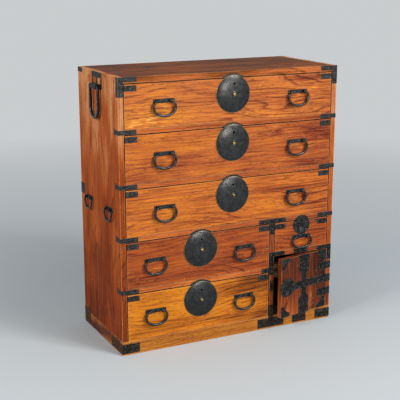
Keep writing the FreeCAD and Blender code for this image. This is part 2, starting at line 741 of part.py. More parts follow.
def strap(name, side, low, form):
    """An iron along the front that wraps round the side and ends there in a fan."""
    body = new_body(name, (half * side, front, low))
    face = sketch_on(body, "XZ_Plane", f"{name}_front")
    left = -d.iron if side < 0 else -d.strap_reach
    outline(face, oblong(left, 0, d.strap_reach + d.iron, form.tall))
    pad(body, face, f"{name}_front_pad", d.iron)
    fan = sketch_on(body, "YZ_Plane", f"{name}_fan")
    neck = form.wrap - d.strap_flare * 2
    outline(fan, [
        (0, 0), (neck, 0), (form.wrap, -d.strap_flare),
        (form.wrap, form.tall + d.strap_flare, d.fan_radius, 1), (neck, form.tall),
        (0, form.tall)])
    pad(body, fan, f"{name}_fan_pad", d.iron, side < 0)
    return body


def angle_iron(name, corner, arm, arm_tall, leg, leg_wide):
    """A flat L from its upper corner: an arm along x, to the left when negative, and a leg down."""
    hand = math.copysign(1, arm.value)
    return plate(name, [
        (0, 0), (arm, 0), (arm, -arm_tall), (leg_wide * hand, -arm_tall),
        (leg_wide * hand, -leg), (0, -leg)], corner)


def tee_iron(name, corner, tall, stem):
    """A flat T from the middle of its bar's far edge; its stem runs as the sign of stem says."""
    wide = d.tee_width / 2
    thin = d.divider_thick / 2
    bar = tall * math.copysign(1, stem.value)
    return plate(name, [
        (-wide, 0), (wide, 0), (wide, bar), (thin, bar), (thin, bar + stem), (-thin, bar + stem),
        (-thin, bar), (-wide, bar)], corner)


def side_plate(name, side, low, wide, tall, near=None):
    """A plate on the side of the case, at its back edge unless it starts nearer."""
    left = -half - d.iron if side < 0 else half
    return box(name, (left, back - wide if near is None else near, low), (d.iron, wide, tall))


def strike_plate(name, middle, under, radius, drop):
    """The part of a round plate that stands on the rail above the lock below it."""
    low = drop + d.strike_lift
    reach = root(radius * radius - low * low)
    return plate(name, [(-reach, low, radius, 1), (reach, low)],
                 (middle, front, under - drop), 0, d.strike_thick)


def build_irons():
    """The irons fixed to the case."""
    top = d.case_height
    corners = []
    for name, side in (("left", -1), ("right", 1)):
        corners.append(angle_iron(f"corner_{name}", (half * side, front, top),
                                  d.corner_arm * -side, d.corner_height, d.corner_drop,
                                  d.side_thick))
        corners.append(side_plate(f"corner_wrap_{name}", side, top - d.corner_drop,
                                  d.corner_wrap + d.iron, d.corner_drop, front - d.iron))
        corners.append(side_plate(f"corner_back_{name}", side, top - d.corner_height,
                                  d.corner_plate, d.corner_height))
    node("corner_irons", *corners)

    straps = [strap(f"strap_left_{row}", -1, ROW_TOPS[row] + strap_lift, RAIL_STRAP)
              for row in (1, 2, 3, 4)]
    straps += [strap(f"strap_right_{row}", 1, ROW_TOPS[row] + strap_lift, RAIL_STRAP)
               for row in (1, 2, 3)]
    straps += [side_plate(f"back_strap_{name}", side, d.side_grip_z, d.back_strap, d.back_strap)
               for name, side in (("left", -1), ("right", 1))]
    node("edge_straps", *straps)

    strikes = [
        strike_plate(f"strike_{row + 1}", 0 if row < 3 else left_middle, ROW_TOPS[row],
                     d.strike_radius, d.lock_drop)
        for row in range(5)]
    strikes.append(strike_plate("strike_small", right_middle, ROW_TOPS[3], d.small_lock,
                                d.small_lock_drop))
    node("strike_plates", *strikes)

    foot = d.foot_lift
    middle_plate = oblong(-d.bay_plate / 2, 0, d.bay_plate, d.foot_height)
    node("base_irons",
         strap("foot_left", -1, foot, FOOT_STRAP),
         strap("foot_right", 1, foot, FOOT_STRAP),
         tee_iron("foot_tee", (divider_middle, front, foot), d.foot_height, d.foot_rise),
         plate("foot_middle", middle_plate, (right_middle, front, foot)),
         side_plate("foot_back_left", -1, foot, d.foot_plate, d.foot_plate),
         side_plate("foot_back_right", 1, foot, d.foot_plate, d.foot_plate))


def build_bay_irons():
    """The irons on the divider and round the door's opening, with the fixed hinge leaves."""
    high = small_floor - strap_lift
    hinges = [hinge_leaf(f"hinge_fixed_{place_z}", z, False) for place_z, z in HINGES]
    node("bay_irons",
         tee_iron("bay_tee", (divider_middle, front, ROW_TOPS[3] + d.rail_height - strap_lift),
                  d.strap_height, -d.tee_drop),
         plate("bay_rail_end", oblong(-d.post_strap, 0, d.post_strap, d.strap_height),
               (bay_left, front, ROW_TOPS[4] + strap_lift)),
         angle_iron("bay_corner_left", (bay_left, front, high), d.strap_reach, d.strap_height,
                    d.post_drop, d.post_iron),
         angle_iron("bay_corner_right", (half, front, high), -d.strap_reach, d.strap_height,
                    d.bay_drop, d.post_iron),
         plate("bay_middle", oblong(-d.bay_plate / 2, -d.strap_height, d.bay_plate,
                                    d.strap_height), (right_middle, front, high)),
         plate("keeper", oblong(-d.keeper_width / 2, -d.keeper_height / 2, d.keeper_width,
                                d.keeper_height), (divider_middle, front, d.keeper_z)),
         *hinges)


# ---------------------------------------------------------------- door
# seen from its hinge pin, which stands in front of the right end of the opening
pin_at = (inner_half, front - d.hinge_reach, 0)
door_foot = d.base_height + d.door_gap
door_head = door_top - d.door_gap
hinge_edge = -d.door_gap
free_edge = bay_right - inner_half + d.door_gap
HINGES = [(name, door_foot + d.hinge_low + d.hinge_pitch * step)
          for step, name in enumerate(("low", "middle", "high"))]


def hinge_leaf(name, middle_z, moving):
    """One leaf of a hinge with six-sided knuckles; the moving one has the middle one and the pin."""
    corner = (0, 0, middle_z) if moving else (pin_at[0], pin_at[1], middle_z)
    body = new_body(name, corner)
    high = d.hinge_height / 2
    knuckle = d.hinge_knuckle / 2 if moving else d.hinge_knuckle / 2 + d.hinge_play
    clear = d.hinge_reach + d.hinge_play
    flat = sketch_on(body, "XZ_Plane", f"{name}_flat", -d.hinge_reach)
    if moving:
        end = hinge_edge - d.hinge_leaf
        outline(flat, [
            (end, -high), (-clear, -high), (-clear, -knuckle), (0, -knuckle), (0, knuckle),
            (-clear, knuckle), (-clear, high), (end, high)])
    else:
        outline(flat, [
            (d.side_thick, high), (0, high), (0, knuckle), (clear, knuckle), (clear, -knuckle),
            (0, -knuckle), (0, -high), (d.side_thick, -high)])
    pad(body, flat, f"{name}_flat_pad", d.iron)
    if moving:
        spans = [("knuckle", d.hinge_across, -knuckle, d.hinge_knuckle),
                 ("pin", d.hinge_pin, -high, d.hinge_height)]
    else:
        spans = [("lower", d.hinge_across, -high, high - knuckle),
                 ("upper", d.hinge_across, knuckle, high - knuckle)]
    for part, across, low, tall in spans:
        section = outline(sketch_on(body, "XY_Plane", f"{name}_{part}", low),
                          hexagon((0, 0), across))
        if not moving:
            bore = (d.hinge_pin + d.hinge_play * 2) / math.cos(math.radians(30))
            outline(section, hexagon((0, 0), bore))
        pad(body, section, f"{name}_{part}_pad", tall)
    return body


def horn_iron(name, corner, across, up):
    """A corner iron of the door with a round bite out of its inner corner."""
    tip = d.horn_waist
    return plate(name, [
        (0, 0), (d.horn * across, 0), (d.horn * across, tip * up),
        (tip * across, d.horn * up, d.horn - tip, -across * up), (0, d.horn * up)], corner)


def door_band():
    """The upright band with two round lobes, crossed by the level band."""
    middle_z = HINGES[1][1]
    middle_x = free_edge + d.band_from_edge
    wide = d.band_wide / 2
    waist = d.band_waist
    lobe = root(d.band_lobe * d.band_lobe - waist * waist)
    notch = d.lobe_drop - d.band_end
    neck = root(d.band_lobe * d.band_lobe - notch * notch)
    arm = d.cross_height / 2
    right_end = hinge_edge - d.hinge_leaf - middle_x
    left_end = free_edge + d.disc_inset + d.disc_seat + d.door_gap - middle_x
    high = door_head - middle_z
    low = door_foot - middle_z
    right = [
        (wide, high), (wide, high - d.band_end), (neck, high - d.band_end),
        (waist, high - d.lobe_drop - lobe, d.band_lobe, -1), (waist, arm), (right_end, arm),
        (right_end, -arm), (waist, -arm), (waist, low + d.lobe_drop + lobe),
        (neck, low + d.band_end, d.band_lobe, -1), (wide, low + d.band_end), (wide, low)]
    left = [
        (-wide, low), (-wide, low + d.band_end), (-neck, low + d.band_end),
        (-waist, low + d.lobe_drop + lobe, d.band_lobe, -1), (-waist, -arm), (left_end, -arm),
        (left_end, arm), (-waist, arm), (-waist, high - d.lobe_drop - lobe),
        (-neck, high - d.band_end, d.band_lobe, -1), (-wide, high - d.band_end), (-wide, high)]
    return plate("door_band", right + left, (middle_x, d.hinge_reach, middle_z))


def door_disc():
    """The door's round lock plate on its seat; it reaches past the free edge."""
    body = new_body("door_disc", (free_edge + d.disc_inset, d.hinge_reach, d.keeper_z))
    seat = outline(sketch_on(body, "XZ_Plane", "door_disc_seat"),
                   hexagon((0, 0), d.disc_seat * 2))
    pad(body, seat, "door_disc_seat_pad", d.lock_stand)
    face = ring(sketch_on(body, "XZ_Plane", "door_disc_face", d.lock_stand), (0, 0),
                d.disc_radius)
    pad(body, face, "door_disc_face_pad", d.disc_thick)
    hole = outline(sketch_on(body, "XZ_Plane", "door_disc_keyhole"),
                   hexagon((0, -d.disc_key), d.key_across))
    pocket = body.newObject("PartDesign::Pocket", "door_disc_key")
    pocket.Profile = hole
    pocket.Reversed = True
    bind(pocket, "Length", d.lock_stand + d.disc_thick)
    return body


def build_door():
    """The door, standing ajar on its three hinges."""
    wide = hinge_edge - free_edge
    node("door_panel",
         box("door_board", (free_edge, d.hinge_reach, door_foot),
             (wide, d.door_thick, door_head - door_foot)),
         corner=pin_at, turn=d.door_ajar)
    face = d.hinge_reach
    node("door_irons",
         door_band(), door_disc(),
         *[horn_iron(name, (x, face, z), across, up)
           for name, x, z, across, up in (
               ("horn_top_left", free_edge, door_head, 1, -1),
               ("horn_top_right", hinge_edge, door_head, -1, -1),
               ("horn_foot_left", free_edge, door_foot, 1, 1),
               ("horn_foot_right", hinge_edge, door_foot, -1, 1))],
         *[hinge_leaf(f"hinge_{name}", z, True) for name, z in HINGES],
         corner=pin_at, turn=d.door_ajar)


# ---------------------------------------------------------------- whole chest
build_case()
build_inner_bay()
for row in (1, 2, 3):
    lockable_drawer(row, -inner_half, inner_half * 2, d.spread_wide,
                    d.grip_drop_top if row == 1 else d.grip_drop)
for row in (4, 5):
    lockable_drawer(row, -inner_half, left_bay, d.spread_left, d.grip_drop)
build_small_drawer()
build_side_fittings()
build_irons()
build_bay_irons()
build_door()
doc.recompute()

for thing in doc.Objects:
    if "Invalid" in thing.State or "Error" in thing.State:
        raise RuntimeError(f"{thing.Name} did not build")
for part in NODES:
    if part.Shape.isNull() or not part.Shape.isValid():
        raise RuntimeError(f"{part.Label} has no valid shape")

os.makedirs("parts", exist_ok=True)
for part in NODES:
    part.Shape.exportStep(f"parts/{part.Label}.step")
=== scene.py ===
# %% [markdown]
# # A clothes chest dressed in wood and black iron
# This is an old Japanese clothes chest: planed boards under clear brown lacquer, swinging
# handles, round lock plates, and thin black iron on every corner that gets knocked. The joinery
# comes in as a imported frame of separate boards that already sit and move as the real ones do.
# What is left is what the eye enjoys: grain, forged edges, nail heads and the curve of a handle.
# We load the frame first, so that each thing we make can be placed by the board it belongs to.

# %% Load the frame
import math
import bmesh
import bpy
from mathutils import Matrix, Vector


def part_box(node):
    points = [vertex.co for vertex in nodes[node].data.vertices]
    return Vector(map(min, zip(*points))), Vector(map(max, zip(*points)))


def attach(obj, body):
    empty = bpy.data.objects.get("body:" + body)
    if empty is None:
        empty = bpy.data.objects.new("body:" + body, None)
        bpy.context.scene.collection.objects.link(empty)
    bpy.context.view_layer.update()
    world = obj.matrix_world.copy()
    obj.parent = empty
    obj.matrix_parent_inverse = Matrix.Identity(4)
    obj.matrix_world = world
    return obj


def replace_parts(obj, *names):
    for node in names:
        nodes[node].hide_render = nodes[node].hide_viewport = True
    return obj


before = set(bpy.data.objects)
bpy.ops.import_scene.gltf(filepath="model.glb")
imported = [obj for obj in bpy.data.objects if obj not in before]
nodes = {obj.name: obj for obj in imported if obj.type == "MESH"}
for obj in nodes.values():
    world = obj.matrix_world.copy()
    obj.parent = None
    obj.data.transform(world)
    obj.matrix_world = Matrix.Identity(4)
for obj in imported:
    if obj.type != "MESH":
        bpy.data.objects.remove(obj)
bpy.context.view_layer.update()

# %% [markdown]
# ## The camera
# A chest like this is looked at from a little above and a little to the left, so that one side
# and the top show. A lens could be chosen by eye, but then the long edges would run together at
# the wrong rate. A longish lens of 86 mm from three and a half metres keeps them calm, and we
# give the camera its turn in degrees so that it is easy to read. The plain view setting shows
# each colour as it was mixed, where a film-like one would wash the orange out.

# %% Camera
camera_data = bpy.data.cameras.new("camera")
camera_data.lens = 85.905
camera_data.sensor_width = 36
camera = bpy.data.objects.new("camera", camera_data)
camera.location = (-1.6102, -3.1763, 1.3815)
camera.rotation_euler = (math.radians(90 - 14.128), 0, math.radians(-26.3955))
bpy.context.collection.objects.link(camera)
bpy.context.scene.camera = camera
bpy.context.scene.view_settings.view_transform = "Standard"
print("camera at", tuple(camera.location))

# %% [markdown]
# ## Colours and nodes
# Paint charts and screens give colours as sRGB hex codes, but a shader adds light, and light
# adds up in linear numbers, so one function turns the code into those. Another adds a node to
# any tree, be it a material or a shape, with its settings and its inputs in one go. An input
# takes a value, a socket or another node. Three more stand for the nodes that come back most,
# so that recipes stay short, and the last two start a finish and put a thing in the scene.

# %% Small helpers
def tone(code):
    """A colour written as sRGB hex, as the linear numbers that a shader needs."""
    parts = [int(code[start:start + 2], 16) / 255 for start in (1, 3, 5)]
    return [p / 12.92 if p <= 0.04045 else ((p + 0.055) / 1.055) ** 2.4 for p in parts] + [1]


def fill(node, inputs):
    """Gives a node its inputs, listed in their order or by name or number."""
    if not isinstance(inputs, dict):
        inputs = dict(enumerate(inputs))
    for key, value in inputs.items():
        sockets = [socket for socket in node.inputs if socket.enabled]
        names = [socket.name for socket in sockets]
        socket = sockets[key if isinstance(key, int) else names.index(key)]
        if isinstance(value, bpy.types.Node):
            value = next(out for out in value.outputs if out.enabled)
        if isinstance(value, bpy.types.NodeSocket):
            node.id_data.links.new(value, socket)
        else:
            socket.default_value = value
    return node


def add(tree, kind, inputs=(), stops=(), **settings):
    """Adds a node with its settings, colour stops and inputs; shader kinds drop their prefix."""
    node = tree.nodes.new(kind if "Node" in kind else "ShaderNode" + kind)
    for name, value in settings.items():
        setattr(node, name, value)
    for number, (spot, colour) in enumerate(stops):
        ramp = node.color_ramp.elements
        stop = ramp[number] if number < 2 else ramp.new(spot)
        stop.position, stop.color = spot, colour
    return fill(node, inputs)


def reckon(tree, operation, *numbers):
    """One number worked out from others."""
    return add(tree, "Math", numbers, operation=operation)


def remap(tree, value, *ends):
    """A value moved from one range into another, or into 0 to 1."""
    return add(tree, "MapRange", (value, *ends))


def noise(tree, spot, size, detail, harsh=0.5):
    """Random clouds of a size in mm."""
    return add(tree, "TexNoise", {"Vector": spot, "Scale": 1000 / size, "Detail": detail,
                                  "Roughness": harsh})


def new_finish(name):
    """An empty material, with its tree and its shader."""
    material = bpy.data.materials.new(name)
    material.use_nodes = True
    return material, material.node_tree, material.node_tree.nodes["Principled BSDF"]


def stand(name, data):
    """Puts a mesh or a lamp into the scene."""
    thing = bpy.data.objects.new(name, data)
    bpy.context.collection.objects.link(thing)
    return thing


print("orange lacquer in linear numbers:", [round(part, 3) for part in tone("#D9803A")])

# %% [markdown]
# ## How a board gets its grain
# A board sawn along a tree cuts through its yearly rings. Where the saw runs level with a ring
# the line opens into a flame; elsewhere the rings are close, straight lines. We could stretch a
# noise into streaks, but streaks alone never make a flame, and rings alone look like corduroy.
# So five things are weighed up into one number, from dark late wood to golden early wood: broad
# clouds of colour, streaks, fine fibres, the count of the rings, and a slow drift along the
# board. One colour ramp then turns the number into wood, so that all of them share its tones.
# Real pores are under half a millimetre wide; here they are drawn nearly four wide and under
# two centimetres long, so that they still show from across a room. Dents, pale chips and rubbed
# arrises come last, as they did on the board, and after them painted shade on the faces in the
# joints.

# %% Masks and layers
def edge_wear(tree, width, patch, spot):
    """A mask that is 1 on arrises rubbed over a width in mm, broken into patches of a size."""
    rounded = add(tree, "Bevel", {"Radius": width / 1000}, samples=4)
    square = add(tree, "NewGeometry").outputs["True Normal"]
    same = add(tree, "VectorMath", (rounded, square), operation="DOT_PRODUCT")
    bent = reckon(tree, "SUBTRACT", 1.0, same.outputs["Value"])
    broken = noise(tree, spot, patch, 3.0)
    both = reckon(tree, "MULTIPLY", bent, broken)
    return remap(tree, both, 0.02, 0.16)


def edge_faces(tree, axes):
    """A mask of the faces that look along any of the axes."""
    way = add(tree, "NewGeometry").outputs["True Normal"]
    parts = add(tree, "SeparateXYZ", (way,))
    mask = 0.0
    for axis in axes:
        size = reckon(tree, "ABSOLUTE", parts.outputs[axis])
        mask = reckon(tree, "MAXIMUM", size, mask)
    return remap(tree, mask, 0.75, 0.95)


def inward_faces(tree, axis):
    """A mask of the faces that look along an axis towards the middle of the chest."""
    way = add(tree, "NewGeometry").outputs["True Normal"]
    spot = add(tree, "TexCoord").outputs["Object"]
    product = add(tree, "VectorMath", (way, spot), operation="MULTIPLY")
    part = add(tree, "SeparateXYZ", (product,)).outputs[axis]
    return remap(tree, part, -0.1, -0.3)


def overlay(tree, colour, layers):
    """Lays other colours over a colour; each layer is (mask, share, colour as sRGB hex)."""
    for mask, share, over in layers:
        share = reckon(tree, "MULTIPLY", mask, share)
        colour = add(tree, "Mix", (share, colour, tone(over)), data_type="RGBA")
    return colour


print("masks for rubbed arrises and for hidden faces")

# %% A lacquered board
def lacquered_board(name, tones, along, across, ring=17, sway=6, shift=(0, 0, 0), rough=0.46,
                    worn="#E2AA74", drifts=(), rubs_and_highlights=(), weights=(0.24, 0.2, 0.26, 0.3),
                    joint_shade=None, pores=0.5, contrast=0.68, gloss=0.12):
    """Sawn wood under clear lacquer; tones run pore, late wood, body, early wood and gold.

    Ring is the mm between rings and sway how many of them the grain wanders across. The weights
    are for streaks, fibres, rings and clouds. Each drift is (axis, start, end, amount) in metres;
    some drifts paint light and shade. Each of the rubs and highlights (x, y, z, radius, strength)
    in mm lightens the board round a point: rubs where hands have polished it, painted highlights
    where light would gleam. Joint shade is a mask function and its axes, for faces that look into
    joints, which it darkens as painted shade. Less contrast is calmer.
    """
    material, tree, shader = new_finish(name)
    spot = add(tree, "TexCoord").outputs["Object"]
    moved = add(tree, "Mapping", {"Vector": spot, "Location": shift})

    def marks(length, width, detail=2.0, harsh=0.5, twist=0.0):
        """Random marks of that length along the board and width across, in mm."""
        drawn = add(tree, "Mapping", {"Vector": moved, "Scale": [
            1000 / (length if axis == along else width) for axis in "XYZ"]})
        return add(tree, "TexNoise", {"Vector": drawn, "Scale": 1.0, "Detail": detail,
                                      "Roughness": harsh, "Distortion": twist})

    cloud = marks(260, 70, 3.0, twist=0.4)
    streak = marks(700, 8, 5.0, 0.65, 0.2)
    fibre = marks(120, 5, harsh=0.6)
    level = add(tree, "SeparateXYZ", (moved,)).outputs[across]
    count = reckon(tree, "MULTIPLY", level, 1000 / ring)
    count = reckon(tree, "MULTIPLY_ADD", marks(620, 120, harsh=0.4), 2.0 * sway, count)
    count = reckon(tree, "MULTIPLY_ADD", marks(150, 24, 3.0), 0.8, count)
    year = reckon(tree, "FRACT", count)
    year = add(tree, "MapRange", (year, 0.66, 0.96, 0.6, -0.6), interpolation_type="SMOOTHSTEP")
    ringed = remap(tree, marks(300, 120), 0.42, 0.56, 0.35, 1.0)
    rings = add(tree, "Mix", (ringed, 0.5, year), data_type="FLOAT")

    total = 0.5 - contrast / 2
    parts = (remap(tree, streak, 0.39, 0.61), remap(tree, fibre, 0.42, 0.58), rings,
             remap(tree, cloud, 0.36, 0.64))
    for part, weight in zip(parts, weights):
        total = reckon(tree, "MULTIPLY_ADD", part, weight * contrast, total)
    for axis, start, end, amount in drifts:
        way = add(tree, "SeparateXYZ", (spot,)).outputs[axis]
        way = remap(tree, way, start, end, 0.0, amount)
        total = reckon(tree, "ADD", total, way)
    patchy = remap(tree, marks(46, 9, 4.0), 0.47, 0.6)
    for x, y, z, radius, strength in rubs_and_highlights:
        gap = add(tree, "VectorMath", (spot, (x / 1000, y / 1000, z / 1000)),
                  operation="DISTANCE").outputs["Value"]
        near = remap(tree, gap, radius / 1000, radius / 4000, 0.0, strength)
        total = reckon(tree, "MULTIPLY_ADD", near, patchy, total)
    colour = add(tree, "ValToRGB", (total,), stops=[
        (at, tone(code)) for at, code in zip((0.06, 0.27, 0.49, 0.7, 0.95), tones)])

    sparse = remap(tree, marks(200, 50), 0.4, 0.6, 0.2, pores)
    open_pore = remap(tree, marks(16, 3.6, 1.0), 0.57, 0.66)
    cells = add(tree, "TexVoronoi", {"Vector": moved, "Scale": 26.0})
    dent = remap(tree, cells.outputs["Distance"], 0.1, 0.05)
    chosen = add(tree, "SeparateXYZ", (cells.outputs["Color"],))
    chosen = reckon(tree, "GREATER_THAN", chosen, 0.5)
    dent = reckon(tree, "MULTIPLY", dent, chosen)
    chip = remap(tree, marks(13, 5, 1.0), 0.65, 0.73, 0.0, 0.45)
    busy = remap(tree, marks(90, 60, 1.0), 0.5, 0.64)
    layers = [(open_pore, sparse, tones[0]), (dent, 0.7, tones[0]), (chip, busy, worn),
              (edge_wear(tree, 5.5, 24, spot), 0.85, worn)]
    # Faces that look into the joints are darkened towards near black: painted shade in the gaps.
    if joint_shade:
        layers.append((joint_shade[0](tree, joint_shade[1]), 0.88, "#140A06"))
    colour = overlay(tree, colour, layers)
    relief = reckon(tree, "SUBTRACT", fibre, dent)
    fill(shader, {
        "Base Color": colour, "Specular IOR Level": gloss,
        "Roughness": remap(tree, cloud, 0.0, 1.0, rough - 0.08, rough + 0.14),
        "Normal": add(tree, "Bump", {"Height": relief, "Strength": 0.3, "Distance": 0.0006})})
    return material


print("a recipe for sawn boards")

# %% [markdown]
# ## The places of the locks and handles
# The frame knows where everything is, so nothing is measured twice: the middle of a lock is the
# middle of its push button, and the pins of a handle lie at the top of its box, less half the
# bar. Reading these keeps the iron on the drawer even if the chest is built wider one day.

# %% Read the places
DRAWERS = [f"drawer_{number}" for number in (1, 2, 3, 4, 5)]
FRONT, HALF = -196.0, 440  # the plane of the fronts and half the width of the case, in mm


def middle_of(node):
    """Middle of a node's box, in mm."""
    low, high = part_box(node)
    return [(a + b) * 500 for a, b in zip(low, high)]


def pivot_of(node, bar):
    """Middle of a handle's pins, in mm, from the top of its box and its bar."""
    x, y, _ = middle_of(node)
    return [x, y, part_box(node)[1][2] * 1000 - bar / 2]


locks = {name: middle_of(f"{name}_button") for name in DRAWERS}
grips = {(name, side): pivot_of(f"{name}_bail_{side}", 7)
         for name in DRAWERS for side in ("left", "right")}
small_grip = pivot_of("small_drawer_bail", 7)
for name, (x, _, z) in locks.items():
    print(name, "lock at x", round(x, 1), "z", round(z, 1))

# %% [markdown]
# ## The boards, one tree and several cuts
# The fronts are cut from a warm, open-grained wood and run from side to side, so their rings
# count upwards. The sides stand on end, so theirs run up and count from front to back. Each
# board gets its own tones and its own place in the trunk, because no two neighbours in a real
# chest match: the fourth drawer is redder and the fifth more golden. Round each handle, where
# knuckles and rings rub the lacquer through, the wood is lighter.

# %% Dress a board
def soften(piece, width, angle):
    """Rounds the arrises of a piece that are sharper than an angle, by a width in mm."""
    soft = piece.modifiers.new("soft arris", "BEVEL")
    soft.width = width / 1000
    soft.segments = 2
    soft.limit_method = "ANGLE"
    soft.angle_limit = math.radians(angle)


def dress(finish, arris, *names):
    """Gives parts of the frame a finish and softens their arrises by a width in mm."""
    for name in names:
        part = nodes[name]
        part.data.materials.clear()
        part.data.materials.append(finish)
        weld = part.modifiers.new("joined faces", "WELD")
        weld.merge_threshold = 0.00002
        soften(part, arris, 35)


print("ready to dress the frame")

# %% The drawer fronts
FRONT_TONES = {
    "drawer_1": ("#4E2216", "#924828", "#CA7438", "#E48E30", "#F8B45E"),
    "drawer_2": ("#441A10", "#823A24", "#B86230", "#D67E2C", "#EEA04C"),
    "drawer_3": ("#481C10", "#8E4224", "#C66E2E", "#E2882C", "#F2A84A"),
    "drawer_4": ("#38140C", "#702E1A", "#A04E26", "#BE6024", "#DA823A"),
    "drawer_5": ("#4C260E", "#965018", "#D07A20", "#E08E20", "#F2AA40"),
    "small_drawer": ("#38140A", "#74341A", "#A85226", "#C46622", "#DE8834"),
}
for number, (name, tones) in enumerate(FRONT_TONES.items()):
    rubs_and_highlights = [(x, FRONT, z - 28, 44, 0.22) for (drawer, _), (x, _, z) in grips.items()
            if drawer == name]
    drifts = [("X", 0.0, 0.44, -0.16)]
    # The extra light spots on the first drawer are painted highlights over the rubbing.
    if name == "drawer_1":
        rubs_and_highlights += [(-365, FRONT, 836, 90, 0.3), (-290, FRONT, 848, 60, 0.42),
                 (330, FRONT, 912, 60, 0.2)]
    elif name == "drawer_5":
        drifts.append(("X", -0.15, 0.12, -0.16))
    elif name == "small_drawer":
        rubs_and_highlights, drifts = [(small_grip[0], FRONT, small_grip[2] - 24, 44, 0.2)], []
    dress(lacquered_board(
        f"zelkova board, clear lacquer, {name}", tones, "X", "Z", rubs_and_highlights=rubs_and_highlights, drifts=drifts,
        shift=(3.0 * number, 0, 2.3 * number), joint_shade=(edge_faces, "XZ")), 1.2, f"{name}_front")
print(len(FRONT_TONES), "fronts dressed")

# %% The other boards
dress(lacquered_board(
    "zelkova rail, clear lacquer", ("#441C10", "#8A4022", "#BE6430", "#DC8238", "#F0A656"),
    "X", "Z", ring=9, shift=(2, 0, 3.3), contrast=0.6, drifts=[("X", 0.0, 0.44, -0.2)],
    joint_shade=(edge_faces, "Z")), 1.0, "front_rails")
dress(lacquered_board(
    "zelkova base rail, clear lacquer", ("#4A200E", "#8A4620", "#B46E26", "#CC863A", "#E4B070"),
    "X", "Z", ring=9, shift=(5, 0, 6.1), contrast=0.5,
    drifts=[("X", -0.4392, -0.4398, -0.34), ("X", 0.4392, 0.4398, -0.34),
            ("Y", 0.0, 0.19, -0.2)]), 1.2, "base_frame")
# The sides are lighter towards the top and darker towards the bottom: painted light and shade.
dress(lacquered_board(
    "cedar plank, brown lacquer, sides", ("#34120A", "#682A14", "#92421C", "#B25C2A", "#D89C6C"),
    "Z", "Y", ring=30, shift=(0, 1.3, 0), rough=0.5, gloss=0.03,
    weights=(0.16, 0.1, 0.26, 0.48), joint_shade=(inward_faces, "X"), pores=0.2, contrast=0.56,
    drifts=[("Z", 0.35, 0.95, 0.33), ("Z", 0.2, 0.0, -0.16), ("Y", -0.1945, -0.1955, -0.03)],
    rubs_and_highlights=[(-HALF, FRONT, 985, 80, 0.5), (HALF, FRONT, 985, 70, 0.5), (-HALF, 190, 990, 50, 0.5)]),
      1.5, "side_left", "side_right")
# The top has darker tones than the sides: painted shade for the dark reflection that a top shows.
# Its front edge is made lighter again.
dress(lacquered_board(
    "cedar plank, brown lacquer, painted dark reflection, top", ("#241006", "#4C260F", "#743E1C", "#A05A2C", "#CC7242"),
    "X", "Y", ring=24, sway=5, shift=(0, 5.2, 0), rough=0.5,
    gloss=0.03, contrast=0.95, drifts=[("Y", -0.1935, -0.1945, 0.26)]), 1.5, "top_board")
# The door's darker tones, lighter towards the bottom and darker towards the hinge, are painted
# light and shade on the ajar door.
dress(lacquered_board(
    "zelkova board, red lacquer, painted shade, door", ("#200C06", "#4A1E10", "#703418", "#9C4C22", "#C8763A"),
    "Z", "X", ring=11, sway=9, shift=(1.1, 0, 0), weights=(0.22, 0.12, 0.36, 0.3),
    contrast=0.75, drifts=[("Z", 0.22, 0.06, 0.24), ("X", 0.26, 0.4, -0.32)]), 1.2, "door_panel")
# The inner drawer front is darkest at its top: a painted shadow under the rail.
dress(lacquered_board(
    "zelkova front of the inner drawer", ("#180A04", "#4A2C18", "#8A6036", "#AC7E4C", "#C89860"),
    "X", "Z", shift=(6, 0, 2), drifts=[("Z", 0.235, 0.262, -0.7)], joint_shade=(edge_faces, "XZ")),
      1.0, "inner_drawer_front")
dress(lacquered_board(
    "zelkova upright, clear lacquer", ("#301008", "#602814", "#86401C", "#A6562A", "#CC7E48"),
    "Z", "X", ring=14, shift=(4, 0, 0), joint_shade=(edge_faces, "X"), contrast=0.6),
      1.0, "centre_divider")
dress(lacquered_board(
    "paulownia plank, planed bare", ("#6A4428", "#966A44", "#B28A60", "#C29C72", "#D2B08A"),
    "Z", "X", ring=22, shift=(7, 0, 0), rough=0.65, worn="#C4A47C", contrast=0.5),
      1.0, "back_boards")
bare = lacquered_board(
    "paulownia board, planed bare, boxes", ("#705236", "#A48258", "#BE9C72", "#CFB088", "#DCC49E"),
    "Y", "Z", ring=14, shift=(0, 2, 0), rough=0.62, worn="#DCC49E")
dress(bare, 0.6, *[f"{name}_box" for name in (*DRAWERS, "small_drawer", "inner_drawer")])
dress(bare, 0.5, "bottom_board", "dust_boards")
dress(bare, 1.0, "inner_shelf")
print("nine more finishes; every board is dressed")

# %% [markdown]
# ## Black iron and brass
# The plates are wrought iron, beaten thin over a block, then heated and rubbed with lacquer so
# that they turn a deep grey-black. Close up they are never flat: the hammer leaves shallow
# hollows a centimetre or so wide, edges rub bright, and here and there a little rust comes
# through. Handles are smoother, polished by hands. The push buttons are cast brass, dull from a
# century of thumbs.

